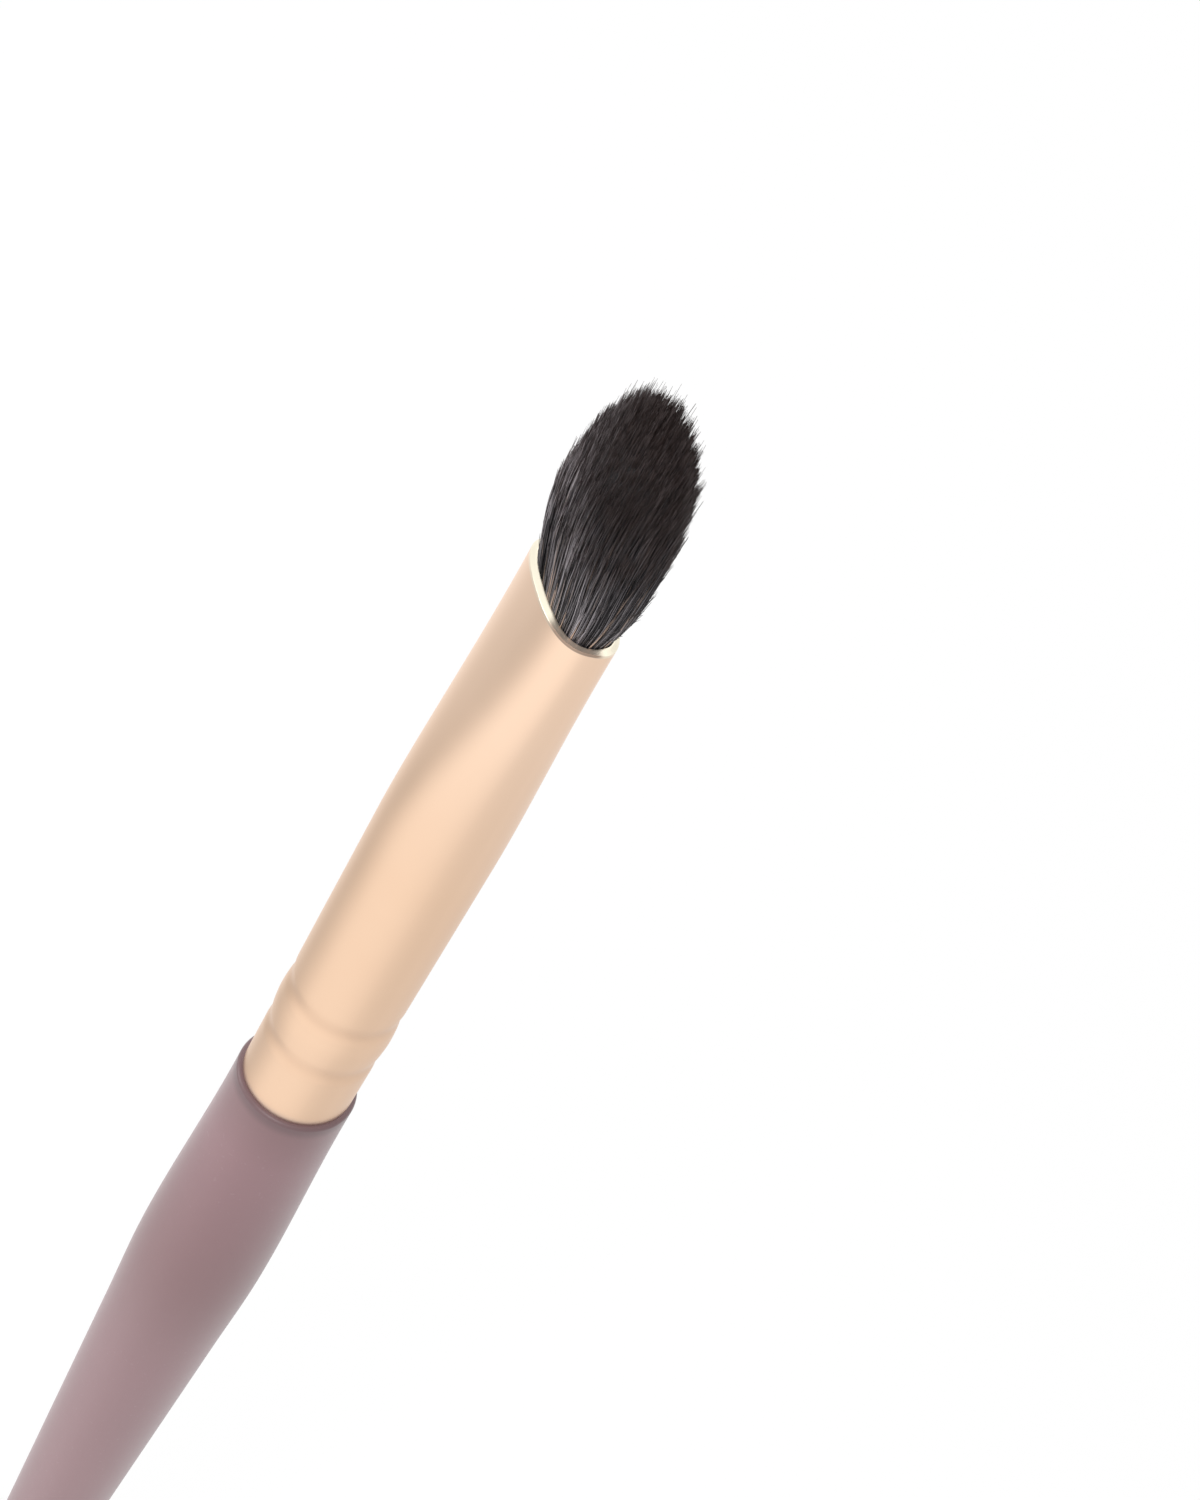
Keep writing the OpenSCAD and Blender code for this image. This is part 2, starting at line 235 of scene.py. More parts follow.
# %% Sizes of the cup
HAIR_FOOT = 161.9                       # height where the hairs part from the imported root
CUP_BELLY, CUP_EDGE, CUP_TIP = 8.8, 8.0, 12.8         # heights over the foot: belly, edge of the dome, tip
CUP_HALF, CUP_TIP_SHARES = (5.0, 2.85), (1.04, 0.7)   # half sizes at the belly, and what is left of them at the tip
OPENING_BEND, CLOSING_BEND = 1.5, 1.4   # how much the flanks bend: at 1 they would be straight
DOME_BEND, DOME_DROP = 2.9, 30.0        # how full the dome is, and how steeply it falls outside the cup
LEAST_REACH = 3.0                       # the rule of the dome gives no height below this
CUP_SLOPE = 0.15                        # how fast the dome falls away from its higher corner
LEAN = (0.14, -0.42)                    # the tuft sits a little to one end and leans to one flat side
CUP_LEAN_RISE = 1.5                     # height at which the cup has its full lean
BOW, NOD = 0.45, 0.25                   # how far the cup bows to one flat side and nods back at the tip
ROOT_GAP = 0.05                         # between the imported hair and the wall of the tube
ROOT_HALF = (float(tube_point(1.0, 0.0, HAIR_FOOT, WALL + ROOT_GAP)[0]),
             float(tube_point(0.0, 1.0, HAIR_FOOT, WALL + ROOT_GAP)[1]))
print("foot of the tuft in mm:", [round(2 * v, 2) for v in ROOT_HALF], " belly:", [2 * v for v in CUP_HALF])

# %% Form of the cup
def cup_half(h, side):
    """Half the cup's size at height h: its wide size for side 0, its thin size for side 1."""
    opening = 1.0 - (1.0 - clamp(h / CUP_BELLY)) ** OPENING_BEND
    closing = clamp((h - CUP_BELLY) / (CUP_TIP - CUP_BELLY)) ** CLOSING_BEND
    return mix(ROOT_HALF[side], CUP_HALF[side], opening) * (1.0 - (1.0 - CUP_TIP_SHARES[side]) * closing)


def cup_sway(h):
    """How far the middle of the cup lies from the axis at height h, across the thin side."""
    share = clamp(h / CUP_TIP)
    return NOD * share * share - BOW * sine(math.pi * ease(share))


def squareness(h): return mix(SQUARENESS, 2.0, clamp(h / CUP_BELLY))


def cup_point(x, y, h):
    """The place at height h of a hair whose foot is the point (x, y) of the unit disc."""
    share = (x * x + y * y) ** 0.5
    stretch = greater(oval_stretch(x, y, squareness(h)), 1e-5)
    return (share * cup_half(h, 0) * x / stretch + LEAN[0] * clamp(h / CUP_LEAN_RISE),
            share * cup_half(h, 1) * y / stretch + cup_sway(h), HAIR_FOOT + h)


def cup_share(x, y, h):
    """How far out the point (x, y) lies in the cup at height h: 0 on the axis, 1 on the outside."""
    return oval_stretch((x - 0.5 * LEAN[0]) / cup_half(h, 0), (y - cup_sway(h)) / cup_half(h, 1), squareness(h))


def cup_reach(share):
    """How high the hair reaches at a share of the way out."""
    dome = mix(CUP_EDGE, CUP_TIP, (1.0 - lesser(share, 1.0) ** DOME_BEND) ** 0.5)
    return greater(dome - DOME_DROP * greater(share - 1.0, 0.0), LEAST_REACH)


print("reach of the cup in mm, from the axis to the outside:", [round(float(cup_reach(s)), 2) for s in (0, 0.5, 1)])

# %% [markdown]
# ## The run of a hair
# The hairs themselves don't bend round the dome. They fan out straight from the mouth, with a little spring over the
# lip, and each one ends where it meets the cup. That is why a brush like this shows a fringe of tips all round its
# upper half. So a hair has a path, and its length is found by asking again and again how high the cup is
# where the hair has got to, going four tenths of the way each time.

# %% Path and length of a hair
SPRING, FAN = (0.80, 0.66), (0.40, 0.90)   # how far hairs spring out over the lip, and how far they fan out
SPRING_BEND, STRAIGHT = 3.8, 0.7           # how soon the spring is over, and the height before it sets in
FOOT_HALF = 0.955                          # the outermost foot, as a share of the root's half size
LEAN_RISE = (2.5, 7.0)                     # heights at which the hairs have their full lean


def hair_half(h, side):
    """How far from the axis the outermost hair is at height h, on the wide side (0) or the thin side (1)."""
    rise = h * h / (h + STRAIGHT)
    spring = 1.0 - (1.0 - clamp(rise / CUP_EDGE)) ** SPRING_BEND
    return FOOT_HALF * ROOT_HALF[side] + SPRING[side] * spring + FAN[side] / CUP_TIP * h


def hair_point(x, y, h, drift):
    """The place of a hair at height h. Drift lets it wander round the tuft, across its neighbours."""
    share = (x * x + y * y) ** 0.5
    x, y = x - y * drift * h, y + x * drift * h
    stretch = greater(oval_stretch(x, y, squareness(h)), 1e-5)
    return (share * hair_half(h, 0) * x / stretch + LEAN[0] * ease(clamp(h / LEAN_RISE[0])),
            share * hair_half(h, 1) * y / stretch + LEAN[1] * ease(clamp(h / LEAN_RISE[1])), HAIR_FOOT + h)


LENGTH_STEPS, STEP_SHARE = 6, 0.4


def nearer_length(x, y, length, drift):
    """A better guess of a hair's length: part of the way to the cup above the place that it reaches."""
    px, py, _ = hair_point(x, y, length, drift)
    return mix(length, cup_reach(cup_share(px, py, length)) - CUP_SLOPE * (px + 0.6 * py), STEP_SHARE)


for foot in ((0.0, 0.0), (0.5, 0.0), (0.0, 0.5), (0.98, 0.0), (0.0, 0.98), (0.0, -0.98)):
    length = CUP_EDGE
    for _ in range(LENGTH_STEPS):
        length = nearer_length(*foot, length, 0.0)
    print("foot", foot, "length", round(float(length), 2))

# %% [markdown]
# ## Camera
# The photograph was taken from close by, above the tuft and some thirty degrees round from its flat side, with the
# camera rolled so that the brush lies across the frame from the lower left. The numbers below come from fitting
# a pinhole camera to the barrel's outline, the mouth and the seam, so the render can be laid over the photograph.
# The fit gives the brush's own axes as the camera sees them. Turned round, they place the camera.

# %% Camera at the photograph's viewing angle
FRAME_WIDTH, FRAME_HEIGHT = 1200, 1500         # pixels of the photograph
FOCAL_PIXELS = 2000.0                          # focal length in those pixels
TILT, ROLL, TURN = math.radians(36.5), math.radians(58.07), math.radians(-55.9)
MOUTH_PIXEL, DISTANCE = (574.64, 595.5), 0.1034   # where the middle of the mouth lies, and how deep
FILM = 36                                      # width of the film in mm, which Blender gives to the longer side


def photo_camera():
    """The camera's place and turn, from the three angles and the place of the mouth."""
    axis = Vector((math.cos(TILT) * math.cos(ROLL), math.cos(TILT) * math.sin(ROLL), math.sin(TILT)))
    across = Vector((math.sin(ROLL), -math.cos(ROLL), 0.0))
    along = axis.cross(across)
    x_axis = math.cos(TURN) * across + math.sin(TURN) * along
    y_axis = -math.sin(TURN) * across + math.cos(TURN) * along
    turn = Matrix((x_axis, y_axis, axis))
    mouth = Vector(((MOUTH_PIXEL[0] - FRAME_WIDTH / 2) / FOCAL_PIXELS,
                    -(MOUTH_PIXEL[1] - FRAME_HEIGHT / 2) / FOCAL_PIXELS, -1.0)) * DISTANCE
    place = Vector((0, 0, MOUTH * MM)) - turn @ mouth
    return Matrix.Translation(place) @ turn.to_4x4()


camera = bpy.data.objects.new("camera", bpy.data.cameras.new("camera"))
scene.collection.objects.link(camera)
camera.matrix_world = photo_camera()
camera.data.lens = FOCAL_PIXELS / FRAME_HEIGHT * FILM
camera.data.sensor_width = FILM
camera.data.clip_start = 0.01
scene.camera = camera
print("camera at mm:", [round(v * 1000, 1) for v in camera.matrix_world.translation], "lens", camera.data.lens)

# %% [markdown]
# ## How a finish is written
# Every finish is a Principled shader in a new material. What is the same all over is set on the shader's own
# sockets. What changes over the surface, such as a colour or a fine relief, is linked into Base Color, Roughness or
# Normal. A colour that changes is written as layers: a first colour, and over it others, each with the share in
# which it covers what is below.

# %% Helpers for finishes
def opaque(colour):
    """A written colour gets its full cover. A colour from a socket stays as it is."""
    return (*colour, 1.0) if isinstance(colour, tuple) else colour


def finish(name, colour, **constants):
    """A material with one Principled shader. Returns it with its graph and its shader node."""
    material = bpy.data.materials.new(name)
    material.use_nodes = True
    material.diffuse_color = opaque(colour)
    shader = material.node_tree.nodes["Principled BSDF"]
    shader.inputs["Base Color"].default_value = opaque(colour)
    for socket, value in constants.items():
        shader.inputs[socket.replace("_", " ")].default_value = value
    return material, Graph(material.node_tree), shader


def feed(graph, shader, **fields):
    """Links what changes over the surface to the shader's sockets."""
    for socket, field in fields.items():
        graph.tree.links.new(field.socket, shader.inputs[socket.replace("_", " ")])


def object_place(graph):
    """The place of a point in the piece itself, in metres."""
    return graph.add("ShaderNodeTexCoord", None, None, "Object")


def mark(graph, name):
    """A number that the piece's own tree has stored on its points."""
    return graph.add("ShaderNodeAttribute", {"attribute_name": name}, None, "Fac")


def noise(graph, place, scale, detail):
    """Cloudy grain round 0.5. Scale is the number of its cells in a metre."""
    return graph.add("ShaderNodeTexNoise", None, {"Vector": place, "Scale": scale, "Detail": detail})


def blend(graph, factor, first, second):
    """The first colour where the factor is 0 and the second where it is 1."""
    return graph.add("ShaderNodeMix", {"data_type": "RGBA"},
                     {"Factor": factor, "A": opaque(first), "B": opaque(second)}, "Result")


def layered(graph, colour, *layers):
    """Lays colours over a first one. Each layer is a share, from 0 to 1, and a colour."""
    for share, layer in layers:
        colour = blend(graph, share, colour, layer)
    return colour


def relief(graph, height, distance, strength=1.0):
    """A fine relief for the Normal socket. Distance is its depth in metres where the height is 1."""
    return graph.add("ShaderNodeBump", None, {"Strength": strength, "Distance": distance, "Height": height})


print("helpers ready: finish, feed, object_place, mark, noise, blend, layered, relief")

# %% [markdown]
# ## Satin rose gold on the ferrule
# The tube is aluminium, blasted to a fine satin and dyed in an anodising bath. The dye sits in a thin clear layer,
# so the colour is even. Painted shade makes it darker in the rolled grooves, a painted contact shadow dulls the
# corner above the handle, and a painted highlight makes it paler towards the mouth. The lip was cut after the dyeing,
# so it is bare and pale where it is filed, partly as a painted highlight, and painted shade darkens its foot where it
# was left square. A metallic shader with a rough surface gives this, with a grain too fine to be seen one by one,
# which breaks the edges of the reflections.
# The marks of the lip are stored on its points by the tree that makes the tube, further down.

# %% Finish of the ferrule
# the third colour is a painted highlight for the nose
ROSE_GOLD, WARMER_DYE, PAINTED_NOSE_HIGHLIGHT = (0.920, 0.650, 0.461), (0.932, 0.665, 0.476), (0.975, 0.722, 0.545)
# a painted shade for the grooves, and a painted contact shadow for the corner above the handle
PAINTED_GROOVE_SHADE, PAINTED_CONTACT_SHADOW = (0.800, 0.550, 0.385), (0.56, 0.47, 0.45)
# the bare lip's pale colour is partly a painted highlight, and the last colour is a painted shade for the lip's foot
BARE_LIP_AND_HIGHLIGHT, SQUARE_LIP, PAINTED_FOOT_SHADE = (0.98, 0.91, 0.74), (0.97, 0.82, 0.70), (0.35, 0.24, 0.18)
NOSE_HIGHLIGHT_START, NOSE_HIGHLIGHT_RUN = 142.0, 13.0          # height where the painted highlight on the nose begins, and the way to its full strength
GROOVE_SHADE, CONTACT_SHADOW_RISE = 1.3, 0.7        # reach of the painted shade at a groove, and height of the painted contact shadow
metal, graph, shader = finish("satin_rose_gold", ROSE_GOLD, Metallic=1.0, Roughness=0.34)
place = object_place(graph)
height = graph.parts(place)[2] / MM
cloud, grain = noise(graph, place, 260.0, 3.0), noise(graph, place, 9000.0, 2.0)
# painted highlight: the colour turns paler towards the mouth
nose_highlight_mask = clamp((height - NOSE_HIGHLIGHT_START) / NOSE_HIGHLIGHT_RUN)
# painted shade: the colour is darker in and around the rolled grooves
groove_shade_mask = sum((hump(abs(height - groove) / GROOVE_SHADE) for groove in GROOVES), 0.0)
# painted contact shadow: darker, duller colour just above the handle
contact_shadow_mask = clamp(1.0 - (height - SHOULDER) / CONTACT_SHADOW_RISE) ** 2.0
# the filed lip is bare pale metal, and its pale colour is also a painted highlight
lip = mark(graph, "lip_bare")
square = mark(graph, "lip_square") * lip
# painted shade: a dark band on the outer foot of the lip where it is square
foot_shade_mask = clamp(square * 3.0) * mark(graph, "lip_outer")
dyed = blend(graph, clamp(cloud * 1.6 - 0.3), ROSE_GOLD, WARMER_DYE)
dyed = layered(graph, dyed, (nose_highlight_mask * 0.8, PAINTED_NOSE_HIGHLIGHT), (groove_shade_mask * 0.5, PAINTED_GROOVE_SHADE), (lip, BARE_LIP_AND_HIGHLIGHT),
               (square * 0.8, SQUARE_LIP), (foot_shade_mask * 0.9, PAINTED_FOOT_SHADE), (contact_shadow_mask * 0.8, PAINTED_CONTACT_SHADOW))
feed(graph, shader, Base_Color=dyed, Roughness=0.31 + 0.05 * cloud + 0.03 * grain - 0.06 * lip + 0.26 * square,
     Normal=relief(graph, grain, 0.000004, 0.35))
print("finish:", metal.name, "with", len(metal.node_tree.nodes), "nodes")

# %% [markdown]
# ## Dusty mauve lacquer on the handle
# The handle is dipped in a pigmented lacquer and pulled out slowly. The film is satin and almost even. Painted shade
# makes it a little darker on the swell and towards the rim, and a painted shadow makes it darkest in the corner under
# the ferrule. It shows a faint orange peel when the light grazes it, and has specks of dust and hair-fine rubs from
# fingers. Under it the tenon stays bare wood, which shows only if the brush is taken apart.

# %% Finish of the handle
MAUVE, THIN_FILM, FULL_FILM = (0.258, 0.142, 0.155), (0.249, 0.137, 0.150), (0.268, 0.148, 0.161)
# painted shade for the swell and the rim, and a painted shadow for the corner under the ferrule
PAINTED_SWELL_SHADE, PAINTED_RIM_SHADE, PAINTED_CORNER_SHADOW = (0.208, 0.109, 0.115), (0.192, 0.103, 0.108), (0.110, 0.064, 0.070)
DUST, PALE_WOOD, DARK_WOOD = (0.42, 0.31, 0.32), (0.58, 0.40, 0.24), (0.42, 0.27, 0.15)
SWELL_MIDDLE, SWELL_REACH = 101.0, 14.0   # height of the swell's middle, and how far its painted shade reaches
RIM_DEPTH, CORNER_SHADOW_DEPTH = 5.0, 1.3          # how far under the shoulder the painted shade begins, and where the painted corner shadow begins
CORNER_SHADOW_RUN, SEAM = 0.9, 0.02                # over what way the painted corner shadow and the bare tenon come in
lacquer, graph, shader = finish("mauve_lacquer", MAUVE, Roughness=0.42, Coat_Weight=0.12, Coat_Roughness=0.3,
                                Sheen_Weight=0.3, Sheen_Roughness=0.45)
place = object_place(graph)
height = graph.parts(place)[2] / MM
lengthways = graph.add("ShaderNodeMapping", None, {"Vector": place, "Scale": (1.0, 1.0, 0.06)})
cloud, peel = noise(graph, place, 120.0, 3.0), noise(graph, place, 900.0, 1.0)
rubs, grain = noise(graph, lengthways, 5200.0, 2.0), noise(graph, lengthways, 1500.0, 3.0)
specks = clamp((noise(graph, place, 4200.0, 0.0) - 0.76) * 30.0)
# painted shade: darker colour on the swell and towards the rim under the ferrule
swell = hump(abs(height - SWELL_MIDDLE) / SWELL_REACH)
rim = clamp((height - (SHOULDER - RIM_DEPTH)) / RIM_DEPTH)
# painted shadow: darkest colour in the corner under the ferrule
corner_shadow_mask = ease(clamp((height - (SHOULDER - CORNER_SHADOW_DEPTH)) / CORNER_SHADOW_RUN))
tenon = clamp((height - SHOULDER) / SEAM)
film = blend(graph, clamp(cloud * 1.5 - 0.25), THIN_FILM, FULL_FILM)
film = layered(graph, film, (specks * 0.12, DUST), (swell * 0.8, PAINTED_SWELL_SHADE), (rim * 0.8, PAINTED_RIM_SHADE),
               (corner_shadow_mask * 0.6, PAINTED_CORNER_SHADOW), (tenon, blend(graph, grain, PALE_WOOD, DARK_WOOD)))
feed(graph, shader, Base_Color=film, Roughness=0.38 + 0.08 * cloud + 0.05 * rubs + 0.25 * tenon,
     Normal=relief(graph, peel + 0.06 * rubs + 0.15 * specks, 0.000008, 0.5))
print("finish:", lacquer.name, "with", len(lacquer.node_tree.nodes), "nodes")

# %% [markdown]
# ## Black hair
# The hair is natural and black, but no two hairs are the same: some are charcoal, and a few are brown towards the
# root, as in the animal's coat. The very tips are painted a little brown, as painted light shining through the thin
# tips. Each hair carries its own shade and its place along its length as marks, which the tree of the tuft stores.
# Light runs along the hairs on a flank of the tuft, while between the tips on the crown it sinks in and is lost. A
# shader sees one hair at a time and knows nothing of that, so the crown is painted darker. A plain sum of the place
# tells how far a point lies from the crown, on the side that is combed smooth.

# %% Finish of the hair
BLACK, CHARCOAL = (0.006, 0.0052, 0.0062), (0.86, 0.79, 0.83)
# the last colour is painted light shining through the thin tips
BROWN, PAINTED_TIP_GLOW = (0.58, 0.42, 0.33), (0.100, 0.062, 0.052)
TO_CROWN = (0.72, 0.45, 0.72)             # the way from the smooth flank to the crown
FLANK_END, FLANK_FADE = 7.2, 4.0          # how far along that way the flank goes, and how softly it ends
CROWN_LIT, FLANK_LIT = 0.18, 0.62         # light on the crown, and how much more the flank has
ACROSS = (0.85, 0.53)                     # the way across the tuft, from left to right of the photograph
ROOT_LIT, ROOT_SLOPE = 0.42, 0.026        # light at the root, and its change with each millimetre across
ROOT_END, ROOT_FADE = 1.0, 5.0            # height where the root's light ends, and how softly
hair_black, graph, shader = finish("black_hair", (0.02, 0.018, 0.02), Roughness=0.42, Specular_IOR_Level=0.2)
shade, along, brown = (mark(graph, name) for name in ("hair_shade", "hair_along", "hair_brown"))
x, y, z = (part / MM for part in graph.parts(object_place(graph)))
above = z - HAIR_FOOT
flank = ease(clamp((FLANK_END - TO_CROWN[0] * x - TO_CROWN[1] * y - TO_CROWN[2] * above) / FLANK_FADE))
at_root = ROOT_LIT + ROOT_SLOPE * (ACROSS[0] * x + ACROSS[1] * y)
lit = mix(at_root, CROWN_LIT + FLANK_LIT * flank, clamp((above - ROOT_END) / ROOT_FADE))
# painted light: the last sixth of each hair is tinted brown as light shining through the thin tips
coat = layered(graph, blend(graph, shade * lit, BLACK, CHARCOAL), (clamp(brown * (1.15 - 1.2 * along)), BROWN),
               (clamp(along * 6.0 - 5.0) * 0.4, PAINTED_TIP_GLOW))
feed(graph, shader, Base_Color=coat, Roughness=0.36 + 0.16 * shade)
print("finish:", hair_black.name, "with", len(hair_black.node_tree.nodes), "nodes")

# %% [markdown]
# ## Packed hair, resin and adhesive
# Behind the single hairs the tuft is a dense dark mass with a run along the hair, so its finish is dull and almost
# black. A noise that is stretched lengthways draws the run, and a colour ramp turns it into two blacks. The resin
# and the adhesive are hidden in the ferrule, and they get what cured epoxy and wood glue look like: clear amber with
# a few bubbles, and a cloudy cream.

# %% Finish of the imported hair
BLACKS = ((0.0, (0.006, 0.005, 0.006, 1.0)), (1.0, (0.022, 0.020, 0.021, 1.0)))   # stops of the ramp
packed_black, graph, shader = finish("packed_hair", (0.012, 0.011, 0.012), Roughness=0.7)
lengthways = graph.add("ShaderNodeMapping", None, {"Vector": object_place(graph), "Scale": (1.0, 1.0, 0.05)})
strands = noise(graph, lengthways, 9000.0, 2.0)
blacks = graph.add("ShaderNodeValToRGB", {"stops": BLACKS}, {"Fac": strands})
feed(graph, shader, Base_Color=blacks, Normal=relief(graph, strands, 0.00003))
print("finish:", packed_black.name, "with", len(packed_black.node_tree.nodes), "nodes")

# %% Finishes of the resin and the adhesive
amber, graph, shader = finish("amber_resin", (0.60, 0.45, 0.17), Roughness=0.18, Coat_Weight=0.5)
place = object_place(graph)
bubbles = clamp((noise(graph, place, 2600.0, 0.0) - 0.68) * 12.0)
cured = blend(graph, noise(graph, place, 420.0, 3.0), (0.52, 0.36, 0.12), (0.68, 0.52, 0.22))
feed(graph, shader, Base_Color=blend(graph, bubbles * 0.5, cured, (0.85, 0.74, 0.46)),
     Normal=relief(graph, bubbles, 0.00002, 0.5))

glue, graph, shader = finish("cured_glue", (0.83, 0.79, 0.64), Roughness=0.55)
cloud = noise(graph, object_place(graph), 700.0, 4.0)
feed(graph, shader, Base_Color=blend(graph, cloud, (0.76, 0.71, 0.55), (0.88, 0.85, 0.72)),
     Roughness=0.45 + 0.2 * cloud, Normal=relief(graph, cloud, 0.00003, 0.5))
print("finishes:", amber.name, glue.name)

# %% [markdown]
# ## The handle
# A wooden handle is turned on a lathe from one outline. In Blender the Screw modifier is the lathe: it turns an
# outline of points round the axis. The outline has the same stretches as the real one: a round tail, a long straight
# taper, a swell that the fingers feel, the rounded shoulder and the tenon that the ferrule slides over.

# %% Outline of the handle
def bend(start, end, slope_start, slope_end, steps=24):
    """A smooth curve from one (radius, height) to the next, with a slope given at each end."""
    t = np.linspace(0, 1, steps + 1)
    span = end[1] - start[1]
    radius = (start[0] * (2 * t**3 - 3 * t**2 + 1) + end[0] * (3 * t**2 - 2 * t**3)
              + span * slope_start * (t**3 - 2 * t**2 + t) + span * slope_end * (t**3 - t**2))
    return [(r, mix(start[1], end[1], s)) for r, s in zip(radius, t)]


def corner(centre, radius, start, end, steps=12):
    """Points on an arc, from one angle to the next in degrees."""
    turns = np.radians(np.linspace(start, end, steps + 1))
    return [(centre[0] + radius * math.cos(a), centre[1] + radius * math.sin(a)) for a in turns]


SHOULDER_ROUND, TENON_LENGTH, TENON_CHAMFER, GLUE_ROOM = 0.3, 12.4, 0.5, 0.2
TAIL, HIP, BELLY, NECK = (2.1, 2.1), (4.39, 90.5), (4.625, 99.5), (4.075, SHOULDER - SHOULDER_ROUND)
TENON_RADIUS, TENON_TOP = BARREL - WALL - GLUE_ROOM, SHOULDER + TENON_LENGTH
taper = (HIP[0] - TAIL[0]) / (HIP[1] - TAIL[1])
outline = [(0.0, 0.0)] + corner((0, TAIL[1]), TAIL[0], -90, 0, 20)[1:]
outline += [(mix(TAIL[0], HIP[0], s), mix(TAIL[1], HIP[1], s)) for s in np.linspace(0, 1, 30)[1:-1]]
outline += bend(HIP, BELLY, taper, 0) + bend(BELLY, NECK, 0, 0)[1:]
outline += corner((NECK[0] - SHOULDER_ROUND, NECK[1]), SHOULDER_ROUND, 0, 90)[1:]
outline += [(TENON_RADIUS, SHOULDER), (TENON_RADIUS, TENON_TOP - TENON_CHAMFER),
            (TENON_RADIUS - TENON_CHAMFER, TENON_TOP), (0.0, TENON_TOP)]
print("outline:", len(outline), "points, widest", round(2 * max(r for r, z in outline), 2), "mm")

# %% Turn the handle
def new_object(name, mesh):
    """An object at the origin, linked to the scene."""
    thing = bpy.data.objects.new(name, mesh)
    scene.collection.objects.link(thing)
    return thing


def made_plain(thing):
    """Turns what the modifiers make into a plain mesh, and removes them."""
    bpy.context.view_layer.update()
    depsgraph = bpy.context.evaluated_depsgraph_get()
    mesh = bpy.data.meshes.new_from_object(thing.evaluated_get(depsgraph), preserve_all_data_layers=True,
                                           depsgraph=depsgraph)
    thing.modifiers.clear()
    thing.data = mesh
    return mesh


def triangles(mesh):
    """How many triangles the mesh's faces make."""
    return sum(len(p.vertices) - 2 for p in mesh.polygons)


mesh = bpy.data.meshes.new("handle_outline")
mesh.from_pydata([(r * MM, 0, z * MM) for r, z in outline], [(i, i + 1) for i in range(len(outline) - 1)], [])
handle = new_object("turned_handle", mesh)
lathe = handle.modifiers.new("lathe", "SCREW")
lathe.steps = lathe.render_steps = 160
lathe.use_merge_vertices, lathe.merge_threshold = True, 1e-7
lathe.use_normal_calculate = True
mesh = made_plain(handle)
mesh.materials.clear()
mesh.materials.append(lacquer)
mesh.shade_smooth()
print("handle:", triangles(mesh), "triangles")

# %% [markdown]
# ## Which way the faces look, and where an edge stays sharp
# A turned or lofted mesh can come out with its faces inwards, so its volume is measured: a closed mesh with its
# faces outwards has a positive one. Edges sharper than 40 degrees, such as the corner of the tenon, are marked
# sharp, and the rest is shaded smooth.

# %% Check a closed mesh
import bmesh


def tidy_solid(thing, sharp=40.0):
    """Merges doubles, turns the faces outwards, marks sharp edges, and prints the volume."""
    work = bmesh.new()
    work.from_mesh(thing.data)
    bmesh.ops.remove_doubles(work, verts=work.verts, dist=2e-7)
    bmesh.ops.dissolve_degenerate(work, dist=1e-8, edges=work.edges)
    bmesh.ops.recalc_face_normals(work, faces=work.faces)
    if work.calc_volume(signed=True) < 0:
        bmesh.ops.reverse_faces(work, faces=work.faces)
    open_edges = sum(1 for e in work.edges if len(e.link_faces) != 2)
    for edge in work.edges:
        edge.smooth = len(edge.link_faces) == 2 and edge.calc_face_angle(0) < math.radians(sharp)
    for face in work.faces:
        face.smooth = True
    volume = work.calc_volume(signed=True) * 1e9
    work.to_mesh(thing.data)
    work.free()
    print(f"{thing.name}: {triangles(thing.data)} triangles, {volume:.1f} mm3, {open_edges} open edges")


tidy_solid(handle)

# %% [markdown]
# ## The ferrule
# The tube could be lofted from curves or sculpted from a cylinder. Its shape follows a rule, so a Geometry Nodes
# tree makes it. First come three helpers that every tree here needs: one that starts a tree with named inputs, one
# that ends it, and one that lets it grow and keeps the plain mesh.

# %% Helpers for trees
def new_tree(name, inputs):
    """A Geometry Nodes tree with named inputs, given as name: (type, default)."""
    tree = bpy.data.node_groups.new(name, "GeometryNodeTree")
    for label, (kind, value) in inputs.items():
        socket = tree.interface.new_socket(label, in_out="INPUT", socket_type="NodeSocket" + kind)
        socket.default_value = value
    tree.interface.new_socket("Geometry", in_out="OUTPUT", socket_type="NodeSocketGeometry")
    graph = Graph(tree)
    entry = graph.add("NodeGroupInput")
    return tree, graph, {label: graph.other(entry, label) for label in inputs}


def end_tree(graph, geometry, material):
    """Realize Instances, Set Material and the way out."""
    real = graph.add("GeometryNodeRealizeInstances", None, {"Geometry": geometry})
    painted = graph.add("GeometryNodeSetMaterial", None, {"Geometry": real, "Material": material})
    graph.add("NodeGroupOutput", None, {"Geometry": painted})


def grown(name, tree, values):
    """An object whose tree has made its mesh. Inputs are set by their sockets' identifiers."""
    thing = new_object(name, bpy.data.meshes.new(name))
    modifier = thing.modifiers.new("grown", "NODES")
    modifier.node_group = tree
    sockets = {s.name: s.identifier for s in tree.interface.items_tree if s.in_out == "INPUT"}
    for label, value in values.items():
        modifier[sockets[label]] = value
    made_plain(thing)
    return thing


print("helpers ready: new_tree, end_tree, grown")

# %% [markdown]
# ## A band of the tube's wall
# Each band of the wall is a flat grid, whose one direction goes round the tube and whose other goes along its wall,
# and Set Position bends it to the rule of the tube. A band can store marks on its points, which the finish reads.

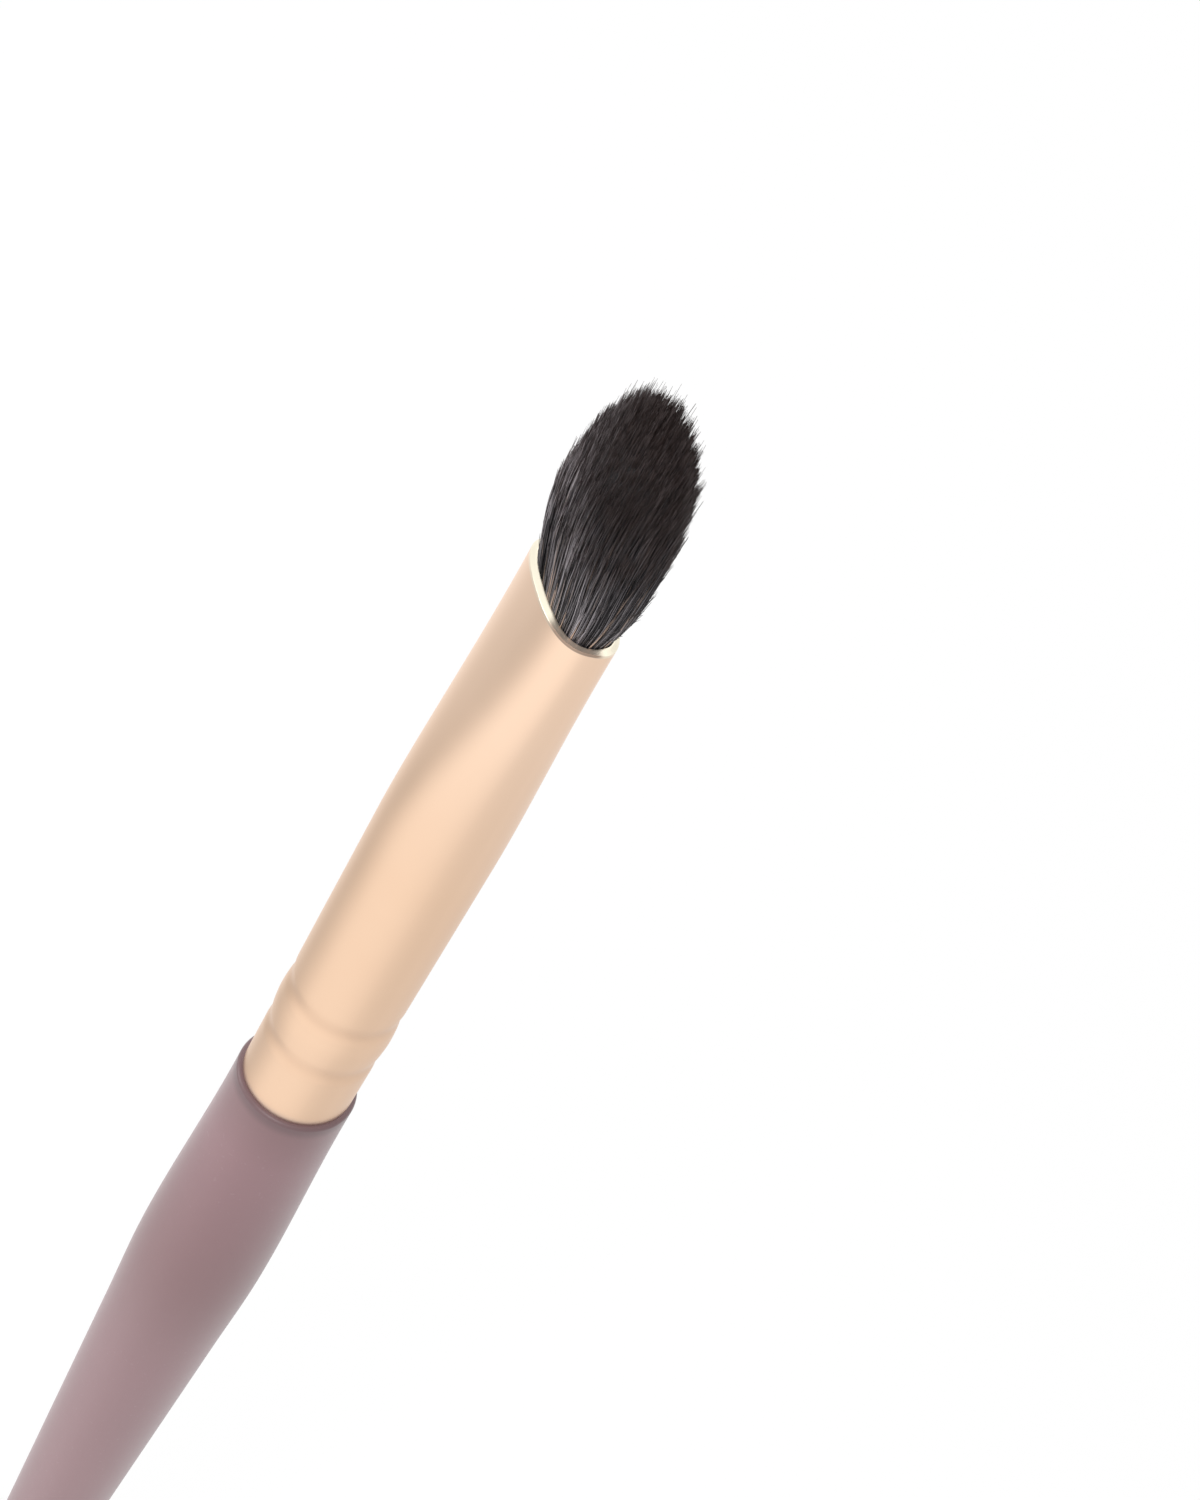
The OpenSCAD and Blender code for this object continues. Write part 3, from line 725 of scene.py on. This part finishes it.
# %% One band of the wall
def wall_band(graph, sides, rows, rule, **marks):
    """A grid bent to the tube. rule gives the height and the inset at a share of the band and at a turn."""
    grid = graph.add("GeometryNodeMeshGrid", None,
                     {"Size X": 1.0, "Size Y": 1.0, "Vertices X": sides + 1, "Vertices Y": rows})
    x, y, _ = graph.parts(graph.add("GeometryNodeInputPosition"))
    turn, share = (x + 0.5) * (2 * math.pi), y + 0.5
    z, inset = rule(share, turn)
    point = graph.vector(*(v * MM for v in tube_point(cosine(turn), sine(turn), z, inset)))
    for name, mark in marks.items():
        grid = graph.add("GeometryNodeStoreNamedAttribute", {"data_type": "FLOAT", "domain": "POINT"},
                         {"Geometry": grid, "Name": name, "Value": mark(share, turn)})
    return graph.add("GeometryNodeSetPosition", None, {"Geometry": grid, "Position": point})


print("helper ready: wall_band")

# %% [markdown]
# ## The cut lip
# The tube is cut to length at the mouth, and a file takes the edge off. Most of the way round, the lip is filed to a
# slope that rises towards the hair, and at one corner it was missed and stays almost square. Each of the two
# forms is a short list of points across the wall, and a share that depends on the turn mixes them. The turn is told
# by its cosine, so the share has no jump where the turn goes from a full circle back to 0.

# %% Two forms of the lip
FILED = ((0.0, -0.5), (0.0, -0.09), (0.01, -0.045), (0.03, -0.012), (0.07, 0.012), (0.75, 0.48), (0.86, 0.52),
         (0.95, 0.46), (1.0, 0.33), (1.0, -0.5))       # inset and height of the filed lip, in wall thicknesses
SQUARE = ((0.0, -0.5), (0.0, -0.08), (0.015, -0.03), (0.05, -0.005), (0.1, 0.005), (0.85, 0.1), (0.93, 0.09),
          (0.98, 0.05), (1.0, -0.02), (1.0, -0.5))     # the same where the lip is still square
CORNER, CORNER_REACH = -22.0, 42.0                     # middle and reach of the square part, in degrees
FULL_SQUARE = 0.985                                    # cosine of the turn from the middle where it is quite square


def steps(values, share):
    """Goes through the values at even steps, as share goes from 0 to 1."""
    place = share * (len(values) - 1.0)
    return sum(((b - a) * clamp(place - i) for i, (a, b) in enumerate(zip(values, values[1:]))), values[0])


def unfiled(turn):
    """1 where the lip is still square, 0 where it is filed."""
    edge = math.cos(math.radians(CORNER_REACH))
    return ease(clamp((cosine(turn - math.radians(CORNER)) - edge) / (FULL_SQUARE - edge)))


def cut_lip(share, turn, wall):
    """Height and inset of the lip, from the outer face over the top to the inner face."""
    inset, rise = (mix(steps(f, share), steps(q, share), unfiled(turn)) for f, q in zip(zip(*FILED), zip(*SQUARE)))
    return MOUTH + wall * rise, wall * inset


print("top of the lip over the mouth, in walls:", [max(rise for _, rise in form) for form in (FILED, SQUARE)])

# %% [markdown]
# ## The whole tube
# There are five bands: the crimped end, the barrel and nose, the cut lip, the inside, and the ring that sits on the
# handle's shoulder. Bands of their own let the rows lie close together at the crimp and at the lip, and wide apart on
# the plain barrel. Where two bands meet they have the same points, so merging by distance welds them to one shell.

# %% Tree of the ferrule
tube_tree, graph, size = new_tree("pinched_tube", {"Wall": ("Float", WALL), "Sides": ("Int", 168)})
wall, sides = size["Wall"], size["Sides"]
crimp_top, lip_start = GROOVES[1] + 0.9, MOUTH - wall / 2
crimped_end = wall_band(graph, sides, 101, lambda s, turn: (mix(SHOULDER, crimp_top, s), 0.0 * s))
barrel_and_nose = wall_band(graph, sides, 76, lambda s, turn: (mix(crimp_top, lip_start, s), 0.0 * s))
cut_edge = wall_band(graph, sides, 28, lambda s, turn: cut_lip(s, turn, wall),
                     lip_bare=lambda s, turn: hump(abs(s - 0.5) * 2.0) ** 0.2,
                     lip_square=lambda s, turn: unfiled(turn) + 0.0 * s,
                     lip_outer=lambda s, turn: hump((s - 0.25) / 0.35))
inside = wall_band(graph, sides, 90, lambda s, turn: (mix(lip_start, SHOULDER, s), wall + 0.0 * s))
foot_ring = wall_band(graph, sides, 2, lambda s, turn: (SHOULDER + 0.0 * s, wall * (1.0 - s)))
bands = [crimped_end, barrel_and_nose, cut_edge, inside, foot_ring]
whole = graph.add("GeometryNodeJoinGeometry", None, {"Geometry": bands})
welded = graph.add("GeometryNodeMergeByDistance", None, {"Geometry": whole, "Distance": 3e-6})
end_tree(graph, welded, metal)
print("tree:", tube_tree.name, "with", len(tube_tree.nodes), "nodes")

# %% Grow the ferrule
ferrule = grown("pinched_ferrule", tube_tree, {"Wall": WALL, "Sides": 168})
tidy_solid(ferrule, 50.0)

# %% [markdown]
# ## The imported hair
# Behind the outer hairs there are thousands more, which nobody can see one by one. A closed solid stands for them:
# it fills the nose of the ferrule, leaves the mouth, and follows the same flow as the hairs a little inside them, so
# no light shines through. It is a loft of rings, which is quick to write as a mesh.

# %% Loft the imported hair
def loft(name, rings, material):
    """A closed mesh through rings of equal size, with a point at each end."""
    count = len(rings[0])
    points = [p for ring in rings for p in ring]
    ends = [np.mean(rings[0], axis=0), np.mean(rings[-1], axis=0)]
    faces = [(r * count + i, r * count + (i + 1) % count, (r + 1) * count + (i + 1) % count, (r + 1) * count + i)
             for r in range(len(rings) - 1) for i in range(count)]
    first, last = len(points), len(points) + 1
    faces += [(first, (i + 1) % count, i) for i in range(count)]
    faces += [(last, first - count + i, first - count + (i + 1) % count) for i in range(count)]
    mesh = bpy.data.meshes.new(name)
    mesh.from_pydata([tuple(float(v) * MM for v in p) for p in points + ends], [], faces)
    mesh.materials.append(material)
    return new_object(name, mesh)


print("helper ready: loft")

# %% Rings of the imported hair
FOOT_SHARE, CORE_SHARE = 0.92, 0.85       # how far out the mass reaches in the cup, at its foot and above
CORE_EDGE = 0.86 * CUP_EDGE               # height where its side turns into its dome
CORE_DOME = 0.84                          # how high its dome is beside the cup's
FOOT_STEP, FOOT_RUN = 0.2, 2.0            # how much it steps in at the foot of the hair, and over what way
turns = np.linspace(0, 2 * math.pi, 97)[:-1]
around = np.array((np.cos(turns), np.sin(turns)))


def ring(point):
    """The points of a ring, from x, y and z as arrays or single numbers."""
    return np.column_stack([np.broadcast_to(v, turns.shape) for v in point])


def root_inset(z):
    """How far in from the outer face of the tube the mass lies at height z."""
    return WALL + ROOT_GAP + FOOT_STEP * ease(clamp((z - HAIR_FOOT + FOOT_RUN) / FOOT_RUN))


rings = [ring(tube_point(*around, z, root_inset(z)))
         for z in np.linspace(NOSE - 0.5, HAIR_FOOT, 16)]
rings += [ring(cup_point(*(around * mix(FOOT_SHARE, CORE_SHARE, s)), CORE_EDGE * s))
          for s in np.linspace(0, 1, 16)[1:]]
rings += [ring(cup_point(*(around * CORE_SHARE * s), CORE_EDGE + (cup_reach(s) - CUP_EDGE) * CORE_DOME))
          for s in np.linspace(1, 0.04, 16)[1:]]
packed = loft("packed_hair", rings, packed_black)
tidy_solid(packed, 60.0)

# %% [markdown]
# ## The single hairs
# Particle hair would be the usual way to make a tuft, but it isn't a mesh, and its hairs don't follow the cup that
# shapes a brush. A Geometry Nodes tree does: points are scattered on a unit disc, which is the mouth seen from
# above, a short curve is set on each, and Set Position bends every curve along the flow. The tree is written once,
# and its inputs choose a ring of the disc, how much of each hair's length is made, and how unruly the hairs are.

# %% Inputs of the tree of hairs
HAIR_INPUTS = {
    "Hairs in the tuft": ("Int", 12500), "Locks": ("Int", 1500), "Inner share": ("Float", 0.0),
    "Outer share": ("Float", 1.0), "Start share": ("Float", 0.0), "Points a hair": ("Int", 8),
    "Hair radius": ("Float", 0.028), "Lock pull": ("Float", 0.6), "Wave": ("Float", 0.6),
    "Drift": ("Float", 0.016), "Short hairs": ("Float", 0.13), "Long hairs": ("Float", 0.09),
    "Stray share": ("Float", 0.0), "Flick": ("Float", 0.0), "Seed": ("Int", 1),
}
LOCK_SEED, LOCK_LUCK_SEED, LUCK_SEED = 5, 11, 20
hair_tree, graph, size = new_tree("tuft_of_hairs", HAIR_INPUTS)


def stored(graph, geometry, name, kind, value):
    """The geometry, with a value stored on its points under a name."""
    return graph.add("GeometryNodeStoreNamedAttribute", {"data_type": kind, "domain": "POINT"},
                     {"Geometry": geometry, "Name": name, "Value": value})


def named(graph, name, kind):
    """What was stored on the points under this name."""
    return graph.add("GeometryNodeInputNamedAttribute", {"data_type": kind}, {"Name": name})


def luck(graph, seed, index=None):
    """A random number from 0 to 1 for each point."""
    return graph.add("FunctionNodeRandomValue", {"data_type": "FLOAT"},
                     {"Min": 0.0, "Max": 1.0, "Seed": seed, **({"ID": index} if index else {})})


def scattered(graph, count, seed):
    """About so many points, scattered on the unit disc."""
    disc = graph.add("GeometryNodeMeshCircle", {"fill_type": "NGON"}, {"Vertices": 128, "Radius": 1.0})
    return graph.add("GeometryNodeDistributePointsOnFaces", {"distribute_method": "RANDOM"},
                     {"Mesh": disc, "Density": count / math.pi, "Seed": seed})


print("inputs:", ", ".join(size))

# %% [markdown]
# ## Feet and locks
# Hairs stick together in fine locks. A second, thinner scatter gives the middle of each lock, and every foot takes
# the nearest one. Each foot stores its own place, its lock's place, and a few random numbers: its lock's luck, which
# all hairs of the lock share, and four of its own.

# %% Feet of the hairs and the middle of each lock
place = graph.add("GeometryNodeInputPosition")
feet = scattered(graph, size["Hairs in the tuft"], size["Seed"])
locks = scattered(graph, size["Locks"], LOCK_SEED)
fx, fy, _ = graph.parts(place)
share = (fx * fx + fy * fy) ** 0.5
outside = share.maths("LESS_THAN", size["Inner share"]) + share.maths("GREATER_THAN", size["Outer share"])
feet = graph.add("GeometryNodeDeleteGeometry", {"domain": "POINT"}, {"Geometry": feet, "Selection": outside})
nearest = graph.add("GeometryNodeSampleNearest", None, {"Geometry": locks, "Sample Position": place})
middle = graph.add("GeometryNodeSampleIndex", {"data_type": "FLOAT_VECTOR"},
                   {"Geometry": locks, "Value": place, "Index": nearest})
feet = stored(graph, feet, "foot", "FLOAT_VECTOR", place)
feet = stored(graph, feet, "lock", "FLOAT_VECTOR", middle)
feet = stored(graph, feet, "lock_luck", "FLOAT", luck(graph, LOCK_LUCK_SEED, nearest))
for number in (1, 2, 3, 4):
    feet = stored(graph, feet, f"luck_{number}", "FLOAT", luck(graph, LUCK_SEED + number))
print("feet and locks:", len(hair_tree.nodes), "nodes so far")

# %% [markdown]
# ## The length of each hair
# The rule for the length from above runs inside the tree, on the place that the hair's tip has after its lock has
# pulled it in. Then luck changes it: most hairs end a little short, and a few locks and a few single hairs
# reach further than the rest, which draws the fringe of tips. A high power of luck makes such hairs rare.

# %% Drift and length
LOCK_PART, OWN_PART = 0.6, 0.4            # how much of a hair's luck is its lock's, and how much its own
MOST = 0.94                               # how much of the full length most hairs have
foot, lock = (graph.parts(named(graph, name, "FLOAT_VECTOR")) for name in ("foot", "lock"))
lucks = [named(graph, f"luck_{n}", "FLOAT") for n in (1, 2, 3, 4)]
lock_luck = named(graph, "lock_luck", "FLOAT")
feet = stored(graph, feet, "drift", "FLOAT", size["Drift"] * (lucks[3] - 0.5) * (1.0 + 1.5 * lucks[2] ** 9.0))
drift = named(graph, "drift", "FLOAT")
tip_x, tip_y = (mix(foot[i], lock[i], size["Lock pull"]) for i in (0, 1))
feet = stored(graph, feet, "length", "FLOAT", cup_reach((tip_x * tip_x + tip_y * tip_y) ** 0.5))
length = named(graph, "length", "FLOAT")
for _ in range(LENGTH_STEPS):
    feet = stored(graph, feet, "length", "FLOAT", nearer_length(tip_x, tip_y, length, drift))
shorter = size["Short hairs"] * (LOCK_PART * lock_luck + OWN_PART * lucks[0]) + size["Stray share"] * lucks[3] ** 7.0
longer = size["Long hairs"] * (LOCK_PART * (1.0 - lock_luck) ** 7.0 + OWN_PART * (1.0 - lucks[0]) ** 10.0)
feet = stored(graph, feet, "length", "FLOAT", length * (MOST + longer - shorter))
print("lengths:", len(hair_tree.nodes), "nodes so far")

# %% [markdown]
# ## The path of each hair
# A straight line of unit length is set on every foot, cut into a few points, and each point moves to its place on
# the hair's path. Towards the tip the hair leans to the middle of its lock and sways in a slow wave, and hairs on
# one side are flicked out a little, as if wiped.

# %% A straight line on every foot
line = graph.add("GeometryNodeCurvePrimitiveLine", None, {"Start": (0, 0, 0), "End": (0, 0, 1)})
line = graph.add("GeometryNodeResampleCurve", None, {"Curve": line, "Count": size["Points a hair"]})
hairs = graph.add("GeometryNodeInstanceOnPoints", None, {"Points": feet, "Instance": line})
hairs = graph.add("GeometryNodeRealizeInstances", None, {"Geometry": hairs})
along = mix(size["Start share"], 1.0, graph.add("GeometryNodeSplineParameter"))
hairs = stored(graph, hairs, "hair_along", "FLOAT", along)
along = named(graph, "hair_along", "FLOAT")
print("lines:", len(hair_tree.nodes), "nodes so far")

# %% Bend the lines along the flow
WIDEST = 5.14                             # no hair leaves the box of the solid tuft
pull = size["Lock pull"] * along ** 2.2
x, y, z = hair_point(mix(foot[0], lock[0], pull), mix(foot[1], lock[1], pull),
                     named(graph, "length", "FLOAT") * along, drift)
wander = graph.add("ShaderNodeTexNoise", None, {
    "Vector": graph.vector(lucks[1] * 400.0 + along * 1.1, foot[0] * 2.0, foot[1] * 2.0),
    "Scale": 1.0, "Detail": 1.0}, "Color")
wx, wy, _ = graph.parts(wander)
sway = size["Wave"] * along ** 1.3
wiped = 0.4 + 0.6 * clamp(0.5 + 0.9 * foot[0])
flick = 1.0 + size["Flick"] * wiped * (0.3 * lucks[0] + 0.7 * lucks[3] ** 4.0) * along ** 4.0
x, y = (x + (wx - 0.5) * sway) * flick, (y + (wy - 0.5) * sway) * flick
point = graph.vector(greater(lesser(x, WIDEST), -WIDEST) * MM, y * MM, z * MM)
hairs = graph.add("GeometryNodeSetPosition", None, {"Geometry": hairs, "Position": point})
print("paths:", len(hair_tree.nodes), "nodes so far")

# %% [markdown]
# ## Thickness and marks for the finish
# A hair keeps its thickness for most of its length and runs out to under a third of it at the tip. Curve to Mesh
# gives it three sides, which is enough for something a twentieth of a millimetre thick. Few hairs are light and most
# are dark, so the shade goes with the square of luck, and about one hair in twenty is brown and a little thicker.

# %% Mesh of the hairs
brown = clamp((lucks[2] - 0.94) * 45.0)
radius = size["Hair radius"] * MM * (1.0 - 0.7 * along ** 4.0) * (0.85 + 0.4 * lucks[1] ** 3.0 + 0.7 * brown)
profile = graph.add("GeometryNodeCurvePrimitiveCircle", None, {"Resolution": 3, "Radius": 1.0})
hairs = stored(graph, hairs, "hair_shade", "FLOAT", clamp((0.56 + 0.35 * lock_luck) * lucks[1] ** 2.0))
hairs = stored(graph, hairs, "hair_brown", "FLOAT", brown)
strands = graph.add("GeometryNodeCurveToMesh", None,
                    {"Curve": hairs, "Profile Curve": profile, "Scale": radius, "Fill Caps": True})
strands = graph.add("GeometryNodeSetShadeSmooth", None, {"Geometry": strands})
end_tree(graph, strands, hair_black)
print("tree:", hair_tree.name, "with", len(hair_tree.nodes), "nodes")

# %% [markdown]
# ## Three zones of hair
# The tree grows three pieces. The outer hairs show from the mouth to their tips and are the most unruly. Of the
# hairs behind them only the upper half shows, and of the crown's hairs only the last two fifths, so theirs start
# higher up and need fewer points. What the tree stored for its own use is removed, and the marks that the finish
# reads stay.

# %% Grow the hairs in three zones
ZONES = {
    "outer_hairs": {"Inner share": 0.9, "Outer share": 1.0, "Points a hair": 10, "Short hairs": 0.22,
                    "Stray share": 0.6, "Flick": 0.11, "Seed": 3},
    "shoulder_hairs": {"Inner share": 0.65, "Outer share": 0.9, "Start share": 0.45, "Points a hair": 6,
                       "Short hairs": 0.08, "Flick": 0.05, "Seed": 4},
    "crown_hairs": {"Inner share": 0.0, "Outer share": 0.65, "Start share": 0.6, "Points a hair": 6,
                    "Short hairs": 0.045, "Long hairs": 0.085, "Seed": 5},
}
hair_pieces = []
SPARE_MARKS = ("foot", "lock", "lock_luck", "luck_1", "luck_2", "luck_3", "luck_4", "drift", "length")
for name, values in ZONES.items():
    piece = grown(name, hair_tree, values)
    for spare in SPARE_MARKS:
        if spare in piece.data.attributes:
            piece.data.attributes.remove(piece.data.attributes[spare])
    spots = np.array([v.co for v in piece.data.vertices]) * 1000
    print(name, triangles(piece.data), "triangles, from", spots.min(0).round(2), "to", spots.max(0).round(2))
    hair_pieces.append(piece)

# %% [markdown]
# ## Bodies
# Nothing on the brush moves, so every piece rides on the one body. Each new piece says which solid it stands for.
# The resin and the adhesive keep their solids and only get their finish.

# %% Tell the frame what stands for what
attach(handle, "root")
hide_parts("handle")
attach(ferrule, "root")
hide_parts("ferrule")
for piece in [packed, *hair_pieces]:
    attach(piece, "root")
    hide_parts("hair_tuft")
for node, material in (("root_resin", amber), ("tenon_glue", glue)):
    NODES[node].data.materials.clear()
    NODES[node].data.materials.append(material)
print("pieces:", [handle.name, ferrule.name, packed.name] + [p.name for p in hair_pieces])

# %% [markdown]
# ## The room that the metal mirrors
# The photograph has a pure white ground and soft light from all round. A satin metal shows little of its own: it
# mirrors the room, and that draws the bands along the ferrule. So the room has a plain brightness, two big windows
# that add to it, and a darker wall between them. Each is a patch with a direction and a reach. Only mirrored
# rays see them, so the ground stays white for the camera.

# %% Room brightness by direction
ROOM = 0.80                                   # plain brightness of the room
PATCHES = (                                   # extra brightness, its direction and its reach in degrees
    (0.24, -58.0, 95.0),                      # the window beside the camera
    (-0.172, -131.0, 50.0),                   # the darker wall to the left
    (0.193, 162.0, 57.0),                     # the window behind the brush
)


def patch(x, y, turn, reach):
    """1 in the middle of a patch of the room, 0 from its reach on, both in degrees."""
    away = greater((x * x + y * y) ** 0.5, 1e-4)
    towards = (x * math.cos(math.radians(turn)) + y * math.sin(math.radians(turn))) / away
    edge = math.cos(math.radians(reach))
    return ease(clamp((towards - edge) / (1.0 - edge)))


def room_light(x, y):
    """Brightness of the room in the direction (x, y) from the brush."""
    return sum((extra * patch(x, y, turn, reach) for extra, turn, reach in PATCHES), ROOM)


def is_ray(graph, kind):
    """1 for rays of this kind, 0 for all others."""
    return graph.add("ShaderNodeLightPath", None, None, f"Is {kind} Ray")


print("room:", ROOM, "with", len(PATCHES), "patches")

# %% [markdown]
# ## Floor
# The floor is a plain pale sheet. To the camera it glows almost white, with a little plain shading mixed in near the
# brush, so that the brush keeps its soft shadow, and farther out it turns to full white, so that no horizon
# shows. Mirrored rays see the room in it. A darker strip far out on it draws the darker band on the ferrule's nose.

# %% Finish of the floor
STRIP_START, STRIP_RUN = 0.172, 0.06          # where mirrored rays begin to see the far floor, in metres
STRIP_TURN, STRIP_REACH = -126.0, 22.0        # direction and reach of the darker strip, in degrees
FAR_LIGHT, STRIP_DARK = 0.09, 0.28            # how much brighter the far floor is, and how much darker the strip
NEAR_GLOW, FAR_GLOW = 0.85, 0.15              # the floor's glow at the brush, and what the way to full white adds
SHADOW_RADIUS, FADE_RUN = 0.2, 0.5            # the shadow's zone, and the way on which the floor turns white
floor_material = bpy.data.materials.new("plain_floor")
floor_material.use_nodes = True
floor_material.node_tree.nodes.clear()
graph = Graph(floor_material.node_tree)
fx, fy, _ = graph.parts(graph.add("ShaderNodeTexCoord", None, None, "Object"))
plain = graph.add("ShaderNodeBsdfDiffuse", None, {"Color": (0.94, 0.94, 0.94, 1.0)})
white = graph.add("ShaderNodeEmission", None, {"Color": (1.0, 1.0, 1.0, 1.0), "Strength": 1.0})
away = (fx * fx + fy * fy) ** 0.5
far = clamp((away - STRIP_START) / STRIP_RUN)
distant = far * (FAR_LIGHT - STRIP_DARK * patch(fx, fy, STRIP_TURN, STRIP_REACH))
room = graph.add("ShaderNodeEmission", None, {"Color": room_light(fx, fy) * (1.0 + distant), "Strength": 1.0})
faded = clamp((away - SHADOW_RADIUS) / FADE_RUN)
glow = (NEAR_GLOW + FAR_GLOW * faded) * is_ray(graph, "Camera")
seen = graph.add("ShaderNodeMixShader", None, {0: glow, 1: plain, 2: white})
mirrored = clamp(is_ray(graph, "Glossy") + is_ray(graph, "Transmission"))
surface = graph.add("ShaderNodeMixShader", None, {0: mirrored, 1: seen, 2: room})
graph.add("ShaderNodeOutputMaterial", None, {"Surface": surface})
print("finish:", floor_material.name, "with", len(floor_material.node_tree.nodes), "nodes")

# %% Plain floor
FLOOR_HALF = 4.0                              # metres from the middle to a side
mesh = bpy.data.meshes.new("floor")
corners = ((-1, -1), (1, -1), (1, 1), (-1, 1))
mesh.from_pydata([(FLOOR_HALF * x, FLOOR_HALF * y, 0) for x, y in corners], [], [(0, 1, 2, 3)])
mesh.materials.append(floor_material)
floor = new_object("floor", mesh)
floor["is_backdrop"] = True
print("floor:", 2 * FLOOR_HALF, "m square")

# %% [markdown]
# ## World and lamps
# The world is plain white to the camera and gives an even soft light. For mirrored rays it is the same room as on
# the floor, with a brighter ceiling. Three big round lamps, which the camera doesn't see, add a soft direction.

# %% World
PLAIN_LIGHT, CEILING_LIGHT = 0.72, 1.15       # the even light, and the ceiling that the metal mirrors
CEILING_START, CEILING_RUN = 0.25, 0.45       # the upward part of a direction where the ceiling begins, and its fade
world = bpy.data.worlds.new("room")
scene.world = world
world.use_nodes = True
world.node_tree.nodes.clear()
graph = Graph(world.node_tree)
dx, dy, dz = graph.parts(graph.add("ShaderNodeTexCoord", None, None, "Generated"))
ceiling = ease(clamp((dz - CEILING_START) / CEILING_RUN))
camera_ray = is_ray(graph, "Camera")
glossy_ray = is_ray(graph, "Glossy")
mirrored = mix(room_light(dx, dy), CEILING_LIGHT, ceiling)
strength = camera_ray + (1.0 - camera_ray) * (glossy_ray * mirrored + (1.0 - glossy_ray) * PLAIN_LIGHT)
sky = graph.add("ShaderNodeBackground", None, {"Color": (1.0, 1.0, 1.0, 1.0), "Strength": strength})
graph.add("ShaderNodeOutputWorld", None, {"Surface": sky})
print("world:", len(world.node_tree.nodes), "nodes")

# %% Lamps
def soft_lamp(name, place, target, size, watts):
    """A round lamp that shines at its target and that the camera doesn't see."""
    lamp = bpy.data.lights.new(name, "AREA")
    lamp.shape, lamp.size, lamp.energy = "DISK", size, watts
    thing = new_object(name, lamp)
    thing.location = place
    thing.rotation_euler = (Vector(target) - Vector(place)).to_track_quat("-Z", "Y").to_euler()
    thing.visible_camera = False
    return thing


LIT_PLACE = (0, 0, SHOULDER * MM)
lamps = [soft_lamp("key_lamp", (0.55, -0.45, 0.75), LIT_PLACE, 0.5, 3.2),
         soft_lamp("fill_lamp", (-0.6, 0.35, 0.6), LIT_PLACE, 0.6, 1.4),
         soft_lamp("side_lamp", (-0.35, -0.6, 0.3), LIT_PLACE, 0.4, 1.6)]
scene.view_settings.view_transform = "Standard"
print("lamps:", {lamp.name: round(lamp.data.energy, 1) for lamp in lamps})

# %% [markdown]
# ## Measure and finish
# The visual model may not be bigger than the solids, so both boxes are written side by side.

# %% Write the sizes and finish
now = [[float(c) for c in corner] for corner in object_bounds()]
for label, box in (("cad", CAD_BOX), ("visual", now)):
    print(label, [[round(c * 1000, 3) for c in corner] for corner in box])
